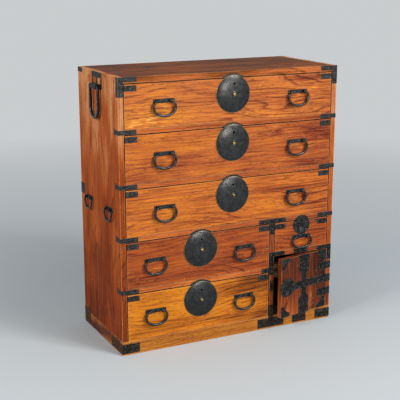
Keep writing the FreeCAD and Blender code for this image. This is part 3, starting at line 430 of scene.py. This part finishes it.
# %% A black iron
def black_iron(name, base, bright, rough, hollow=11, wear=0.8, low="#17181A", dust=0.5,
               brown=0.0, beat=0.4):
    """Wrought iron, hammered and blackened with baked lacquer; dust is how far specks show.

    Hollow is the width of the hammer marks in mm and beat their depth. Brown is how far rust
    has covered the faces that look sideways, where the chest is mopped.
    """
    material, tree, shader = new_finish(name)
    spot = add(tree, "TexCoord").outputs["Object"]
    mottle = noise(tree, spot, 14, 6.0, 0.65)
    colour = add(tree, "ValToRGB", (mottle,), stops=[
        (0.28, tone(low)), (0.5, tone(base)), (0.66, tone(bright)), (0.8, tone("#5C5E60"))])
    rust = noise(tree, spot, 26, 5.0)
    grit = noise(tree, spot, 3.2, 2.0)
    colour = overlay(tree, colour, [
        (remap(tree, rust, 0.58, 0.7), 0.45, "#3A2A22"),
        (edge_faces(tree, "X"), brown, "#5E3A22"),
        (remap(tree, grit, 0.6, 0.7), dust, "#8A8C8C"),
        (edge_wear(tree, 1.6, 12, spot), wear, "#8E9092")])
    beaten = noise(tree, spot, hollow, 2.0)
    relief = reckon(tree, "MULTIPLY_ADD", grit, 0.25, beaten)
    fill(shader, {
        "Base Color": colour, "Metallic": 0.9,
        "Roughness": remap(tree, mottle, 0.0, 1.0, rough - 0.1, rough + 0.2),
        "Normal": add(tree, "Bump", {"Height": relief, "Strength": beat, "Distance": 0.0012})})
    return material


print("a recipe for black iron")

# %% The metals
plate_iron = black_iron("wrought iron plate, lacquer blackened", "#2E2F2F", "#424241", 0.5,
                        wear=0.7, dust=0.3)
dome_iron = black_iron("wrought iron dome, lacquer blackened", "#38393A", "#434445", 0.25,
                       hollow=20, wear=0.9, low="#2C2D2E", dust=0.25)
bar_iron = black_iron("forged iron bar, rubbed by hands", "#3A3C3F", "#54575B", 0.24, hollow=26,
                      wear=0.12, low="#28292C", dust=0.08, beat=0.1)
old_iron = black_iron("wrought iron plate, rough and dusty", "#202122", "#3A3A36", 0.55,
                      hollow=9, wear=1.0, low="#0E0F10", dust=0.6)
mopped_iron = black_iron("wrought iron plate, browned near the floor", "#29241F", "#4A3C30",
                         0.62, hollow=9, wear=0.9, low="#16120E", dust=0.6, brown=0.75)
# Near-black iron for the plates behind the lock holes: painted shade inside the lock.
hole_shade_iron = black_iron("soot-dark iron inside a lock", "#0A0A0A", "#101010", 0.8, wear=0.0,
                       low="#060606", dust=0.0)
nail_iron = black_iron("forged nail head", "#444648", "#6A6C6E", 0.4, hollow=8, low="#2A2C2E")

brass, tree, shader = new_finish("cast brass, dulled by handling")
spot = add(tree, "TexCoord").outputs["Object"]
tarnish = noise(tree, spot, 3, 4.0)
fill(shader, {
    "Base Color": add(tree, "ValToRGB", (tarnish,), stops=[
        (0.35, tone("#6E5630")), (0.6, tone("#C0AA6A"))]),
    "Metallic": 1.0, "Roughness": remap(tree, tarnish, 0.0, 1.0, 0.25, 0.5)})

dress(plate_iron, 0.4, "corner_irons", "edge_straps")
dress(old_iron, 0.4, "bay_irons", "door_irons")
dress(mopped_iron, 0.4, "base_irons")
dress(plate_iron, 0.3, "strike_plates")
print("seven irons and a brass")

# %% [markdown]
# ## A bench for iron pieces
# All the iron on one drawer moves as one, so it is modelled as one mesh. We could boolean solid
# blocks together, but thin plates are quicker to draw as an outline that is pushed forward.
# Everything is drawn in millimetres on a bench that lies on the surface: x to the right, z up,
# minus y towards you. One matrix then sets the bench down on the front or turns it onto a side.

# %% Bench tools
IRON = 1.2  # thickness of the plates, in mm


def bench(spot, turn=0):
    """From mm on the bench to metres in the chest; turn is -90 for the left side, 90 right."""
    place = Matrix.Translation(Vector(spot) / 1000)
    return place @ Matrix.Rotation(math.radians(turn), 4, "Z") @ Matrix.Scale(0.001, 4)


def on_front(spot):
    """A bench on the drawer fronts, level with a place."""
    return bench((spot[0], FRONT, spot[2]))


def slab(mesh, seat, corners, low=0, high=IRON):
    """A sheet with that outline in x and z, from low to high in front of the surface."""
    back = [mesh.verts.new(seat @ Vector((x, -low, z))) for x, z in corners]
    face = [mesh.verts.new(seat @ Vector((x, -high, z))) for x, z in corners]
    mesh.faces.new(face)
    mesh.faces.new(back[::-1])
    for one in range(len(corners)):
        mesh.faces.new((face[one], face[one - 1], back[one - 1], back[one]))
    return mesh


def arc(radius, turns, centre=(0, 0)):
    """Points on a circle at those turns, in degrees."""
    return [(centre[0] + radius * math.cos(math.radians(turn)),
             centre[1] + radius * math.sin(math.radians(turn))) for turn in turns]


def round_to(mesh, seat, profile, steps, centre=(0, 0)):
    """Turns a profile of (radius, distance in front) about the y axis; it may start at 0."""
    loops = []
    for radius, out in profile:
        turns = [360 * step / steps for step in range(steps if radius else 1)]
        loops.append([mesh.verts.new(seat @ Vector((x, -out, z)))
                      for x, z in arc(radius, turns, centre)])
    for inner, outer in zip(loops, loops[1:]):
        for step in range(steps):
            corners = [loop[turn % len(loop)] for loop, turn in (
                (inner, step - 1), (inner, step), (outer, step), (outer, step - 1))]
            mesh.faces.new(list(dict.fromkeys(corners)))
    return mesh


def oblong(left, low, width, tall):
    """Corners of an upright oblong."""
    return [(left, low), (left + width, low), (left + width, low + tall), (left, low + tall)]


print("bench ready")

# %% Lugs, and from the bench to the chest
def lug(mesh, seat, middle, width, reach, rise, bore):
    """A lug with a rounded nose and a bore along x for the pin of a handle."""
    outer, inner = [], []
    for out, up in arc(1, range(0, 360, 18)):
        far = rise if out >= 0 else min(reach / -out, rise / max(abs(up), 0.01))
        outer.append((reach + far * out, far * up))
        inner.append((reach + bore * out, bore * up))
    left, right = middle - width / 2, middle + width / 2
    rims = [[mesh.verts.new(seat @ Vector((x, -out, up))) for out, up in line]
            for x, line in ((left, outer), (left, inner), (right, inner), (right, outer))]
    for one, two in zip(rims, rims[1:] + rims[:1]):
        for step in range(20):
            mesh.faces.new((one[step - 1], one[step], two[step], two[step - 1]))


def closed(mesh, name):
    """Joins the corners of the bench's mesh, turns its faces outwards and keeps it by name."""
    bmesh.ops.remove_doubles(mesh, verts=mesh.verts, dist=1e-6)
    bmesh.ops.recalc_face_normals(mesh, faces=mesh.faces)
    data = bpy.data.meshes.new(name)
    mesh.to_mesh(data)
    mesh.free()
    return data


def iron_piece(name, mesh, finishes, body, *replaced, arris=0.35, slot="iron"):
    """Makes the bench's mesh a piece of the chest that rides on a body."""
    data = closed(mesh, name)
    for finish in finishes:
        data.materials.append(finish)
    data.shade_smooth()
    data.set_sharp_from_angle(angle=math.radians(32))
    piece = stand(name, data)
    if arris:
        soften(piece, arris, 50)
    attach(piece, body)
    if replaced:
        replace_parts(piece, *replaced)
    return piece


print("lugs and iron pieces ready")

# %% [markdown]
# ## Nails from one tree of nodes
# Every plate is held by small forged nails with low round heads, hundreds in all. Modelling one
# and copying it by hand would be slow to change. Geometry Nodes put one dome on each point
# instead, turned to face the way the plate faces, each a little larger or smaller than the next
# as hand-made nails are. A tree ends by making its copies real, since a saved model keeps only
# real faces. Both trees of this chest start and end alike, so two helpers do that part.

# %% Start and end of a tree
def new_tree(name, sizes):
    """A tree that takes a mesh, some sizes and a finish; returns it and its inputs."""
    tree = bpy.data.node_groups.new(name, "GeometryNodeTree")
    for label, kind, usual in [("Geometry", "Geometry", None), *sizes,
                               ("Finish", "Material", None)]:
        socket = tree.interface.new_socket(
            name=label, in_out="INPUT", socket_type=f"NodeSocket{kind}")
        if usual is not None:
            socket.default_value = usual
    tree.interface.new_socket(name="Geometry", in_out="OUTPUT", socket_type="NodeSocketGeometry")
    return tree, add(tree, "NodeGroupInput").outputs


def end_tree(tree, shape, finish):
    """Ends a tree: its copies made real, its faces shaded smooth, and its finish on."""
    real = add(tree, "GeometryNodeRealizeInstances", (shape,))
    smooth = add(tree, "GeometryNodeSetShadeSmooth", {"Geometry": real})
    coated = add(tree, "GeometryNodeSetMaterial", {"Geometry": smooth, "Material": finish})
    add(tree, "NodeGroupOutput", (coated,))


print("a start and an end for trees")

# %% The nail tree
WIDE, TALL = 0.0046, 0.0015  # the head of a nail, in metres
nails, given = new_tree("forged nails", [
    ("Head Width", "Float", WIDE), ("Head Height", "Float", TALL), ("Seed", "Int", 7)])
dome = add(nails, "GeometryNodeMeshUVSphere", {"Segments": 8, "Rings": 6, "Radius": 0.5})
size = add(nails, "CombineXYZ", (given["Head Width"], given["Head Width"], given["Head Height"]))
aim = add(nails, "GeometryNodeInputNamedAttribute", {"Name": "aim"}, data_type="FLOAT_VECTOR")
turn = add(nails, "FunctionNodeAlignRotationToVector", {"Vector": aim}, axis="Z")
vary = add(nails, "FunctionNodeRandomValue", {"Min": 0.8, "Max": 1.2, "Seed": given["Seed"]},
           data_type="FLOAT")
grow = add(nails, "VectorMath", {0: size, "Scale": vary}, operation="SCALE")
heads = add(nails, "GeometryNodeInstanceOnPoints", {
    "Points": given["Geometry"], "Instance": dome, "Rotation": turn, "Scale": grow})
end_tree(nails, heads, given["Finish"])
print("nail tree with", len(nails.nodes), "nodes")

# %% Run a tree and put nails in
def baked(thing):
    """The mesh of a thing once its modifiers have run."""
    shown = thing.evaluated_get(bpy.context.evaluated_depsgraph_get())
    return bpy.data.meshes.new_from_object(shown)


def grown(name, source, tree, values, body, place=None):
    """Runs a tree on a mesh and keeps the result as a plain piece of iron on a body."""
    seed = stand(f"{name}_seed", source)
    growth = seed.modifiers.new("growth", "NODES")
    growth.node_group = tree
    for item in tree.interface.items_tree:
        if item.name in values:
            growth[item.identifier] = values[item.name]
    seed.update_tag()
    data = baked(seed)
    data.name = name
    bpy.data.objects.remove(seed)
    if place:
        data.transform(place)
    piece = stand(name, data)
    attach(piece, body)
    return piece


def nail_on(name, body, spots, seed):
    """One piece with a nail at each (place, aim), both as vectors; the places are in metres."""
    points = bpy.data.meshes.new(f"{name}_points")
    points.from_pydata([place for place, _ in spots], [], [])
    facing = points.attributes.new("aim", "FLOAT_VECTOR", "POINT")
    for item, (_, way) in zip(facing.data, spots):
        item.vector = way
    return grown(name, points, nails, {"Seed": seed, "Finish": nail_iron}, body)


def nails_at(seat, corners, out=IRON):
    """Nail places on a bench, that far in front of the surface."""
    way = (seat.to_3x3() @ Vector((0, -1, 0))).normalized()
    return [(seat @ Vector((x, -out, z)), way) for x, z in corners]


print("nail heads", 1000 * WIDE, "mm wide")

# %% [markdown]
# ## Swinging handles
# A handle is a square bar with rounded corners, drawn out thinner at the ends, which are bent
# inwards and sprung into two lugs. Sweeping a rounded square along a bend comes closest to what
# the smith does, so a second tree does that: it takes the bend as a line drawn flat, smooths
# it, thins it towards the ends and sweeps the bar along it. Drawing the bend flat keeps the
# square from twisting. The handle is then stood up in its place.

# %% The handle tree
handles, given = new_tree("forged handle", [
    ("Bar", "Float", 0.006), ("Rounding", "Float", 0.0018), ("Thinning", "Float", 0.25),
    ("Steps", "Int", 56)])
line = add(handles, "GeometryNodeMeshToCurve", (given["Geometry"],))
curved = add(handles, "GeometryNodeCurveSplineType", {"Curve": line}, spline_type="CATMULL_ROM")
even = add(handles, "GeometryNodeResampleCurve", {"Curve": curved, "Count": given["Steps"]})
level = add(handles, "GeometryNodeSetCurveNormal", {"Curve": even}, mode="Z_UP")
along = add(handles, "GeometryNodeSplineParameter")
from_middle = reckon(handles, "MULTIPLY_ADD", along, 2.0, -1.0)
from_middle = reckon(handles, "ABSOLUTE", from_middle)
near_end = reckon(handles, "POWER", from_middle, 5.0)
lost = reckon(handles, "MULTIPLY", near_end, given["Thinning"])
stout = reckon(handles, "SUBTRACT", 1.0, lost)
square = add(handles, "GeometryNodeCurvePrimitiveQuadrilateral",
             {"Width": given["Bar"], "Height": given["Bar"]})
bar = add(handles, "GeometryNodeFilletCurve",
          {"Curve": square, "Count": 3, "Radius": given["Rounding"]}, mode="POLY")
swept = add(handles, "GeometryNodeCurveToMesh",
            {"Curve": level, "Profile Curve": bar, "Scale": stout, "Fill Caps": True})
end_tree(handles, swept, given["Finish"])


def handle(body, seat, bend, bar, rounding, thinning):
    """Sweeps a handle along a bend, given by its right half in mm, and hangs it on a bench."""
    whole = [(-x, z) for x, z in bend[:0:-1]] + bend
    line = bpy.data.meshes.new(f"{body}_bend")
    line.from_pydata([(x / 1000, z / 1000, 0) for x, z in whole],
                     [(one, one + 1) for one in range(len(whole) - 1)], [])
    upright = seat @ Matrix.Scale(1000, 4) @ Matrix.Rotation(math.radians(90), 4, "X")
    piece = grown(f"{body}_forged", line, handles, {
        "Bar": bar / 1000, "Rounding": rounding / 1000, "Thinning": thinning,
        "Finish": bar_iron}, body, upright)
    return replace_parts(piece, body)


print("handle tree with", len(handles.nodes), "nodes")

# %% [markdown]
# ## Handles on the drawers and sides
# The drawer handles leave their lugs sideways, round out to a loop wider than the lugs and hang
# flat on the wood. The side ones are the same shape, smaller. The carrying handles at the top
# are long straight legs with a half-round end, thick enough to take a pole through both.

# %% Hang the handles
DRAWER_BEND = [(0, -51.3), (9, -50.6), (17.5, -48.9), (25.5, -45.6), (32.6, -40.6), (38, -33.6),
               (40.8, -25.4), (40.9, -17.4), (38.4, -10), (34, -4.2), (30, -0.9), (26, 0),
               (22, 0)]
SIDE_BEND = [(0, -42.2), (8, -41.4), (15.5, -39.2), (22.5, -35.4), (28.6, -29.6), (32.6, -22),
             (33.6, -15), (31.6, -8), (27.6, -3), (24, -0.4), (20.5, 0), (17, 0)]
CARRY_BEND = [(0, -111), (12, -109.8), (21, -105), (29, -97), (35, -88), (37.6, -78),
              (38, -66), (38, -40), (38, -20), (38, -8), (37, -2.4), (33, 0), (27, 0)]
for (name, side), spot in grips.items():
    handle(f"{name}_bail_{side}", bench(spot), DRAWER_BEND, 8.8, 3.2, 0.36)
handle("small_drawer_bail", bench(small_grip), [(x, z * 0.82) for x, z in DRAWER_BEND], 8.4,
       3.0, 0.36)
side_seats = {}
for side, way in (("left", -1), ("right", 1)):
    for body, pin, *making in (
            (f"side_bail_{side}_front", 5, SIDE_BEND, 6.4, 2.0, 0.25),
            (f"side_bail_{side}_back", 5, SIDE_BEND, 6.4, 2.0, 0.25),
            (f"carry_bail_{side}", 9, CARRY_BEND, 10.5, 2.6, 0.15)):
        spot = pivot_of(body, pin)
        handle(body, bench(spot, 90 * way), *making)
        side_seats[body] = bench((HALF * way, spot[1], spot[2]), 90 * way)
print(len(grips) + 1 + len(side_seats), "handles hung")

# %% [markdown]
# ## A round lock plate
# The big round plates are what such a chest is known for. Each is a disc beaten into a low dome,
# so that it holds its shape and throws a soft light, with a keyhole above the middle and a
# smaller hole beside it. The profile is turned like a dish: a long shallow rise, then a quick
# fall to a thin rim that is rolled back. A thin brass liner shows as a bright line at the rim.
# The holes are real ones, cut by a boolean, and behind them lies a disc painted black as shade.

# %% Drill round holes
def cut_round(piece, places, seat):
    """Drills round holes of (x, z, radius) straight through a piece, then forgets the drill."""
    for x, z, radius in places:
        bit = round_to(bmesh.new(), seat, [(0, -1), (radius, -1), (radius, 14), (0, 14)], 16,
                       (x, z))
        drill = stand("drill", closed(bit, "drill"))
        cut = piece.modifiers.new("hole", "BOOLEAN")
        cut.object = drill
        cut.solver = "EXACT"
        cleared = baked(piece)
        piece.modifiers.clear()
        old, name = piece.data, piece.data.name
        piece.data = cleared
        bpy.data.meshes.remove(old)
        cleared.name = name
        bpy.data.objects.remove(drill)


print("drill ready")

# %% Turn the domes
DOME = [(5.6, 2.4), (5.6, 10.0), (14, 9.95), (24, 9.7), (34, 9.1), (43, 8.2), (51, 7.0),
        (58, 5.5), (63, 4.2), (66, 3.3), (67, 2.6), (66.6, 1.9), (65.6, 1.75), (60, 3.2),
        (50, 5.2), (34, 7.3), (20, 8.1), (8.4, 8.3), (7.6, 2.4)]
for name, spot in locks.items():
    seat = on_front(spot)
    mesh = round_to(bmesh.new(), seat, DOME + DOME[:1], 64)
    lock = iron_piece(f"{name}_dome", mesh, [dome_iron], name, arris=0)
    cut_round(lock, [(0, 38, 4.6), (-29, 43, 3)], seat)
    lock.data.set_sharp_from_angle(angle=math.radians(40))
print("dome faces:", len(lock.data.polygons))

# %% [markdown]
# ## The rest of a drawer's iron
# Behind each dome sits a flat lock plate that closes the holes, painted black as the shade
# inside the lock, and inside the drawer is the case of the lock. Each handle has a long plate
# with two lugs, and each top corner of the front a small plate. All of it is fixed to one
# drawer, so it is one mesh with two finishes.

# %% Parts of the drawer iron
def grip_iron(mesh, seat, width, shift, rise):
    """A handle's plate with clipped corners and two lugs; returns the places of its nails."""
    half, tall, clip = width / 2, 7.5, 1.2
    slab(mesh, seat, [
        (-half, clip - tall), (clip - half, -tall), (half - clip, -tall), (half, clip - tall),
        (half, tall - clip), (half - clip, tall), (clip - half, tall), (-half, tall - clip)])
    for side in (-1, 1):
        lug(mesh, seat, shift * side, 7.6, 10, 5.9, 2.7)
        round_to(mesh, seat, [(0, 0.9), (6.6, 0.9), (6.2, 2.6), (0, 2.6)], 12, (shift * side, 0))
    return nails_at(seat, [(side * (half - 5), z) for side in (-1, 1) for z in (rise, -rise)])


def corner_tabs(mesh, name):
    """The plates on the two top corners of a drawer front; returns the places of their nails."""
    low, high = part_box(f"{name}_front")
    spots = []
    for left in (low[0] * 1000, high[0] * 1000 - 45):
        seat = bench((left, FRONT, high[2] * 1000 - 24))
        slab(mesh, seat, oblong(0, 0, 45, 20))
        spots += nails_at(seat, [(6, 5), (6, 15), (39, 5), (39, 15), (22, 10)])
    return spots


def lock_case(mesh, name, middle):
    """The box of a lock on the back of a drawer front."""
    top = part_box(f"{name}_front")[1][2] * 1000
    slab(mesh, bench((middle, FRONT + 20, top - 6)), oblong(-32, -46, 64, 46), -9, 0)


print("handle plates, corner plates and lock cases ready")

# %% Drawer iron
for name, spot in locks.items():
    mesh = round_to(bmesh.new(), on_front(spot), [(0, 0), (54, 0), (54, 1.4), (0, 1.4)], 48)
    # The disc behind the dome takes the near-black painted shade.
    for face in mesh.faces:
        face.material_index = 1
    spots = []
    for side in ("left", "right"):
        seat = on_front(grips[name, side])
        spots += grip_iron(mesh, seat, 82, 24, 3.6) + nails_at(seat, [(-12, 0), (12, 0)])
    spots += corner_tabs(mesh, name)
    lock_case(mesh, name, spot[0])
    iron_piece(f"{name}_ironwork", mesh, [plate_iron, hole_shade_iron], name, f"{name}_irons")
    nail_on(f"{name}_nails", name, spots, len(name) + int(spot[2]))
    print(name, "iron with", len(spots), "nails")

# %% [markdown]
# ## Push buttons and their washers
# A small brass button in the middle of the dome springs the lock open. Around it lies a dark
# washer, and under the dome's rim a brass liner peeps out. The button is turned with a neck and
# a round head, since that is how a thumb would want it.

# %% Buttons, washers and liners
BUTTON = [(0, -0.3), (5, -0.3), (5, 10.4), (4.4, 11.0), (4.4, 12.0), (5, 12.6), (5, 14.4),
          (4.2, 15.5), (2.4, 15.95), (0, 16.0)]
WASHER = [(5.9, 9.6), (5.9, 10.9), (7.4, 11.5), (9.2, 10.9), (9.6, 9.6), (5.9, 9.6)]
LINER = [(62, 1.1), (67.9, 1.1), (68.1, 1.35), (67.9, 1.6), (62, 1.6), (62, 1.1)]
for name, spot in locks.items():
    seat = on_front(spot)
    mesh = round_to(bmesh.new(), seat, BUTTON, 24)
    round_to(mesh, seat, [(0, -1.6), (7.5, -1.6), (7.5, 0.35), (0, 0.35)], 6)
    iron_piece(f"{name}_brass_button", mesh, [brass], f"{name}_button", f"{name}_button",
               arris=0, slot="brass")
    mesh = round_to(bmesh.new(), seat, WASHER, 24)
    iron_piece(f"{name}_washer", mesh, [bar_iron], name, arris=0)
    mesh = round_to(bmesh.new(), seat, LINER, 64)
    iron_piece(f"{name}_liner", mesh, [brass], name, arris=0, slot="brass")
print("buttons fitted")

# %% [markdown]
# ## The small drawer
# The drawer above the door is too low for a dome. Its lock plate is flat, cut straight at the
# top where the drawer ends, and runs down in a neck to the only handle. A plate like this is
# chiselled from sheet, so it is one outline pushed forward, with its keyhole drilled.

# %% Small drawer iron
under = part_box("small_drawer_front")[1][2] * 1000 + 3
lock_x = small_grip[0]
seat = bench((lock_x, FRONT, under - 20))
neck_end = small_grip[2] - (under - 20)
shape = [(-33.43, 17), *arc(37.5, range(154, 246, 4)), (-16, -33.9), (-16, neck_end + 7.5)]
shape += [(-x, z) for x, z in shape[::-1]]
small_lock = iron_piece("small_drawer_lock_plate", slab(bmesh.new(), seat, shape, 0, 1.3),
                        [old_iron], "small_drawer", arris=0)
cut_round(small_lock, [(0, 3, 3.4), (13, 9, 1.6)], seat)
mesh = round_to(bmesh.new(), seat, [(0, 0.1), (6, 0.1), (6, 0.4), (0, 0.4)], 12, (0, 3))
round_to(mesh, seat, [(0, 0.1), (4, 0.1), (4, 0.4), (0, 0.4)], 12, (13, 9))
# The discs behind the holes take the near-black painted shade.
for face in mesh.faces:
    face.material_index = 1
spots = nails_at(seat, [(-28, 8), (28, 8), (-24, -20), (24, -20), (-11, -38), (11, -38)], 1.3)
spots += grip_iron(mesh, on_front(small_grip), 82, 24, 3.6)
made = len(mesh.faces)
round_to(mesh, seat, [(0, 1.2), (10, 1.2), (9, 3.4), (5, 4.6), (0, 4.9)], 24, (0, -18))
for face in list(mesh.faces)[made:]:
    face.material_index = 2
spots += corner_tabs(mesh, "small_drawer")
lock_case(mesh, "small_drawer", lock_x)
iron_piece("small_drawer_ironwork", mesh, [old_iron, hole_shade_iron, nail_iron], "small_drawer",
           "small_drawer_irons")
nail_on("small_drawer_nails", "small_drawer", spots, 5)
print("small drawer:", len(spots), "nails")

# %% [markdown]
# ## Irons on the sides
# At the top of each side a plate with three short straps holds a long lug for the carrying
# handle, and half way down are two small handles. Seen from the front they stand out in
# profile, so the lugs are rounded in the same way as those on the drawers. Their nails are
# counted with those of the case.

# %% Side iron
mesh = bmesh.new()
spots = []
for body, seat in side_seats.items():
    if body.startswith("side"):
        spots += grip_iron(mesh, seat, 66, 19, 3)
        continue
    slab(mesh, seat, oblong(-50, 30, 100, 20))
    for left in (-50, -6, 38):
        slab(mesh, seat, oblong(left, 8, 12, 23), 0, 1.5)
    slab(mesh, seat, oblong(-50, -9, 100, 18))
    lug(mesh, seat, 0, 64, 12, 8.8, 4.3)
    spots += nails_at(seat, [(x, 44) for x in (-44, -22, 0, 22, 44)])
    spots += nails_at(seat, [(x, 36) for x in (-44, 0, 44)], 1.5)
    spots += nails_at(seat, [(-44, 0), (44, 0)])
iron_piece("side_ironwork", mesh, [plate_iron], "case", "side_fittings")
print("sides:", len(spots), "nails")

# %% [markdown]
# ## Nails through the case and door irons
# The straps and plates of the case and door come from the frame as they are: their outlines are
# right and thin iron needs no more than a soft arris. What they lack is their nails. The places
# are counted from the ends of each strap, so that they stay clear of its edges. Those round the
# bay of the door come as a table: a place, and the steps across and up from it.

# %% Nails in the straps
RAILS = [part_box(f"drawer_{row}_front")[1][2] * 1000 + 3 for row in (2, 3, 4, 5)]
STRAP = (10, 34, 58)  # how far a strap's nails lie from the edge of the case
flat = bench((0, FRONT, 0))
for row, under in enumerate(RAILS):
    for side in (-1, 1) if row < 3 else (-1,):  # the lowest right one gives way to the door
        wall = bench((HALF * side, FRONT + 26, under + 9), 90 * side)
        spots += nails_at(flat, [(side * (HALF - x), under + 9) for x in STRAP])
        spots += nails_at(wall, [(0, 4.5), (0, -4.5), (-16 * side, 0)])
for side in (-1, 1):
    wall = bench((HALF * side, 0, 0), 90 * side)
    spots += nails_at(flat, [(side * (HALF - x), 991.5) for x in STRAP])
    spots += nails_at(flat, [(side * (HALF - 10), z) for z in (972, 952, 938)])
    spots += nails_at(wall, [(side * y, z) for y, z in (
        (164, 991), (186, 991), (164, 553), (188, 534), (150, 52), (185, 52), (150, 20),
        (185, 20), (-180, 16), (-180, 33), (-140, 24), (-106, 16), (-106, 33))])
    spots += nails_at(flat, [(side * (HALF - x), z) for x in (10, 35, 58) for z in (14, 34)])
print(len(spots), "nails in the sides and straps")

# %% Nails round the bay
HINGES, LOCK = (105, 158.5, 212), 171  # heights of the door's hinges and of its lock
PIN_X, PIN_OUT = 420, 3.4  # where the hinge pin stands, across and in front of the wood
bay_left, bay_right = [corner[0] * 1000 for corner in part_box("centre_divider")]
post, bay_middle = (bay_left + bay_right) / 2, (bay_right + PIN_X) / 2
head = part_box("small_drawer_front")[0][2] * 1000 - 12
for x, steps, z, rises in (
        (post, (-50, -20, 20, 50), RAILS[2], [9]), (post, [0], RAILS[2], (-6, -22)),
        (bay_left, (-28, -8), RAILS[3], [9]), (bay_left, (8, 32, 58), head, [0]),
        (HALF, (-8, -32, -58), head, [0]), (bay_middle, (-24, 0, 24), head, [0]),
        (bay_left, [9], head, (-26, -46, -68)), (post, [0], LOCK, (-15, 15)),
        *[(HALF, [-6], hinge, (-10, 10)) for hinge in HINGES],
        (post, (-50, -20, 20, 50), 0, (14, 34)), (bay_middle, (-22, 22), 0, (14, 34))):
    spots += nails_at(flat, [(x + step, z + rise) for step in steps for rise in rises])
nail_on("case_nails", "case", spots, 11)
print("case:", len(spots), "nails")

# %% [markdown]
# ## Nails and a keyhole collar on the door
# The door stands ajar, so its bench is set on the hinge pin and turned as far as the door is.
# Measured from the pin, every place is then as simple as on a closed door. The collar is a thin
# ring of brighter iron, filed clean by years of keys.

# %% Door nails
AJAR = 12  # degrees
door = bench((PIN_X, FRONT - PIN_OUT, 0), AJAR)
edge = bay_right + 2 - PIN_X
top = head - 17
band, key = edge + 118, (edge + 29, LOCK)
spots = nails_at(door, arc(29, range(15, 375, 60), key), 0.6)
places = [(x, z + rise) for x in (-10, -36) for z in HINGES for rise in (-9, 9)]
places += [(band + x, z) for x in (-20, 20) for z in (50, 62, top - 8, top - 20)]
places += [(band + x, z) for x in (-17, 0, 17) for z in (90, top - 48)]
places += [(band + x, HINGES[1]) for x in (-50, -26, 0, 26, 50, 76)]
for x, across in ((edge, 1), (-2, -1)):
    for z, rise in ((42, 1), (top, -1)):
        places += [(x + across * a, z + rise * b) for a, b in ((9, 9), (37, 7), (7, 37))]
spots += nails_at(door, places, IRON - PIN_OUT)
nail_on("door_nails", "door", spots, 3)
mesh = round_to(bmesh.new(), door, [(3.4, 0.4), (3.4, 1.4), (6.4, 1.2), (6.8, 0.4), (3.4, 0.4)],
                20, (key[0], LOCK - 20))
iron_piece("door_collar", mesh, [nail_iron], "door", arris=0)
print("door:", len(spots), "nails; top of the door at", round(top, 1))

# %% [markdown]
# ## Floor and light
# A plain pale floor keeps all eyes on the chest. The light is that of a high workshop window on
# the right and in front, large enough for soft shadows. A small low window in front puts a
# gleam on the domes and handles, and a pale screen on the left lights the side. The even light
# of the room does the rest: it is pale to the camera, metal and glass, and dimmer for the light
# that it really gives, so that the colours come out about as they were mixed. Far from the
# chest the floor fades into the same pale level, so that no line shows where the two meet.

# %% The floor
STUDIO = "#E9ECEE"  # a white room, a little cool
SEEN, GIVEN = 0.72, 0.36  # how strong the room looks, and how strongly it lights
FADE = 0.8, 4.2  # metres from the middle between which the floor becomes the room


def seen_rays(tree):
    """1 for the rays that show a thing: straight, mirrored, and through glass."""
    rays = add(tree, "LightPath").outputs
    seen = rays["Is Camera Ray"]
    for kind in ("Is Glossy Ray", "Is Transmission Ray"):
        seen = reckon(tree, "MAXIMUM", seen, rays[kind])
    return seen


floor_data = bpy.data.meshes.new("floor")
floor_data.from_pydata([(-14, -14, 0), (14, -14, 0), (14, 14, 0), (-14, 14, 0)], [], [(0, 1, 2, 3)])
pale, tree, paint = new_finish("pale painted floor")
away = add(tree, "VectorMath", (add(tree, "TexCoord").outputs["Object"],),
           operation="LENGTH").outputs["Value"]
near = remap(tree, away, *FADE)
far = remap(tree, away, *FADE, 0.0, SEEN)
fill(paint, {
    "Base Color": add(tree, "ValToRGB", (near,), stops=[
        (0.0, tone("#CAD7E1")), (1.0, tone("#000000"))]),
    "Roughness": 0.8, "Specular IOR Level": 0.0, "Emission Color": tone(STUDIO),
    "Emission Strength": reckon(tree, "MULTIPLY", seen_rays(tree), far)})
floor_data.materials.append(pale)
stand("floor", floor_data)
print("floor fades from", FADE[0], "to", FADE[1], "m")

# %% The room and the lamps
world = bpy.data.worlds.new("studio")
bpy.context.scene.world = world
world.use_nodes = True
tree = world.node_tree
fill(tree.nodes["Background"], {
    "Color": tone(STUDIO),
    "Strength": remap(tree, seen_rays(tree), 0.0, 1.0, GIVEN, SEEN)})


def window(name, place, target, width, power, colour):
    """A soft square lamp that looks at a point."""
    lamp = bpy.data.lights.new(name, "AREA")
    lamp.size = width
    lamp.energy = power
    lamp.color = tone(colour)[:3]
    holder = stand(name, lamp)
    holder.location = place
    holder.rotation_euler = (Vector(target) - Vector(place)).to_track_quat("-Z", "Y").to_euler()


window("high window", (2.0, -3.6, 3.2), (0, 0, 0.5), 1.4, 148, "#FFF6EC")
window("front window", (1.0, -4.1, 1.2), (0, 0, 0.7), 0.6, 38, "#FFF8F0")
window("left reflector", (-3.6, -1.0, 2.2), (-0.4, 0, 0.6), 1.6, 78, "#FFF2E4")
print("a pale room and three lamps")
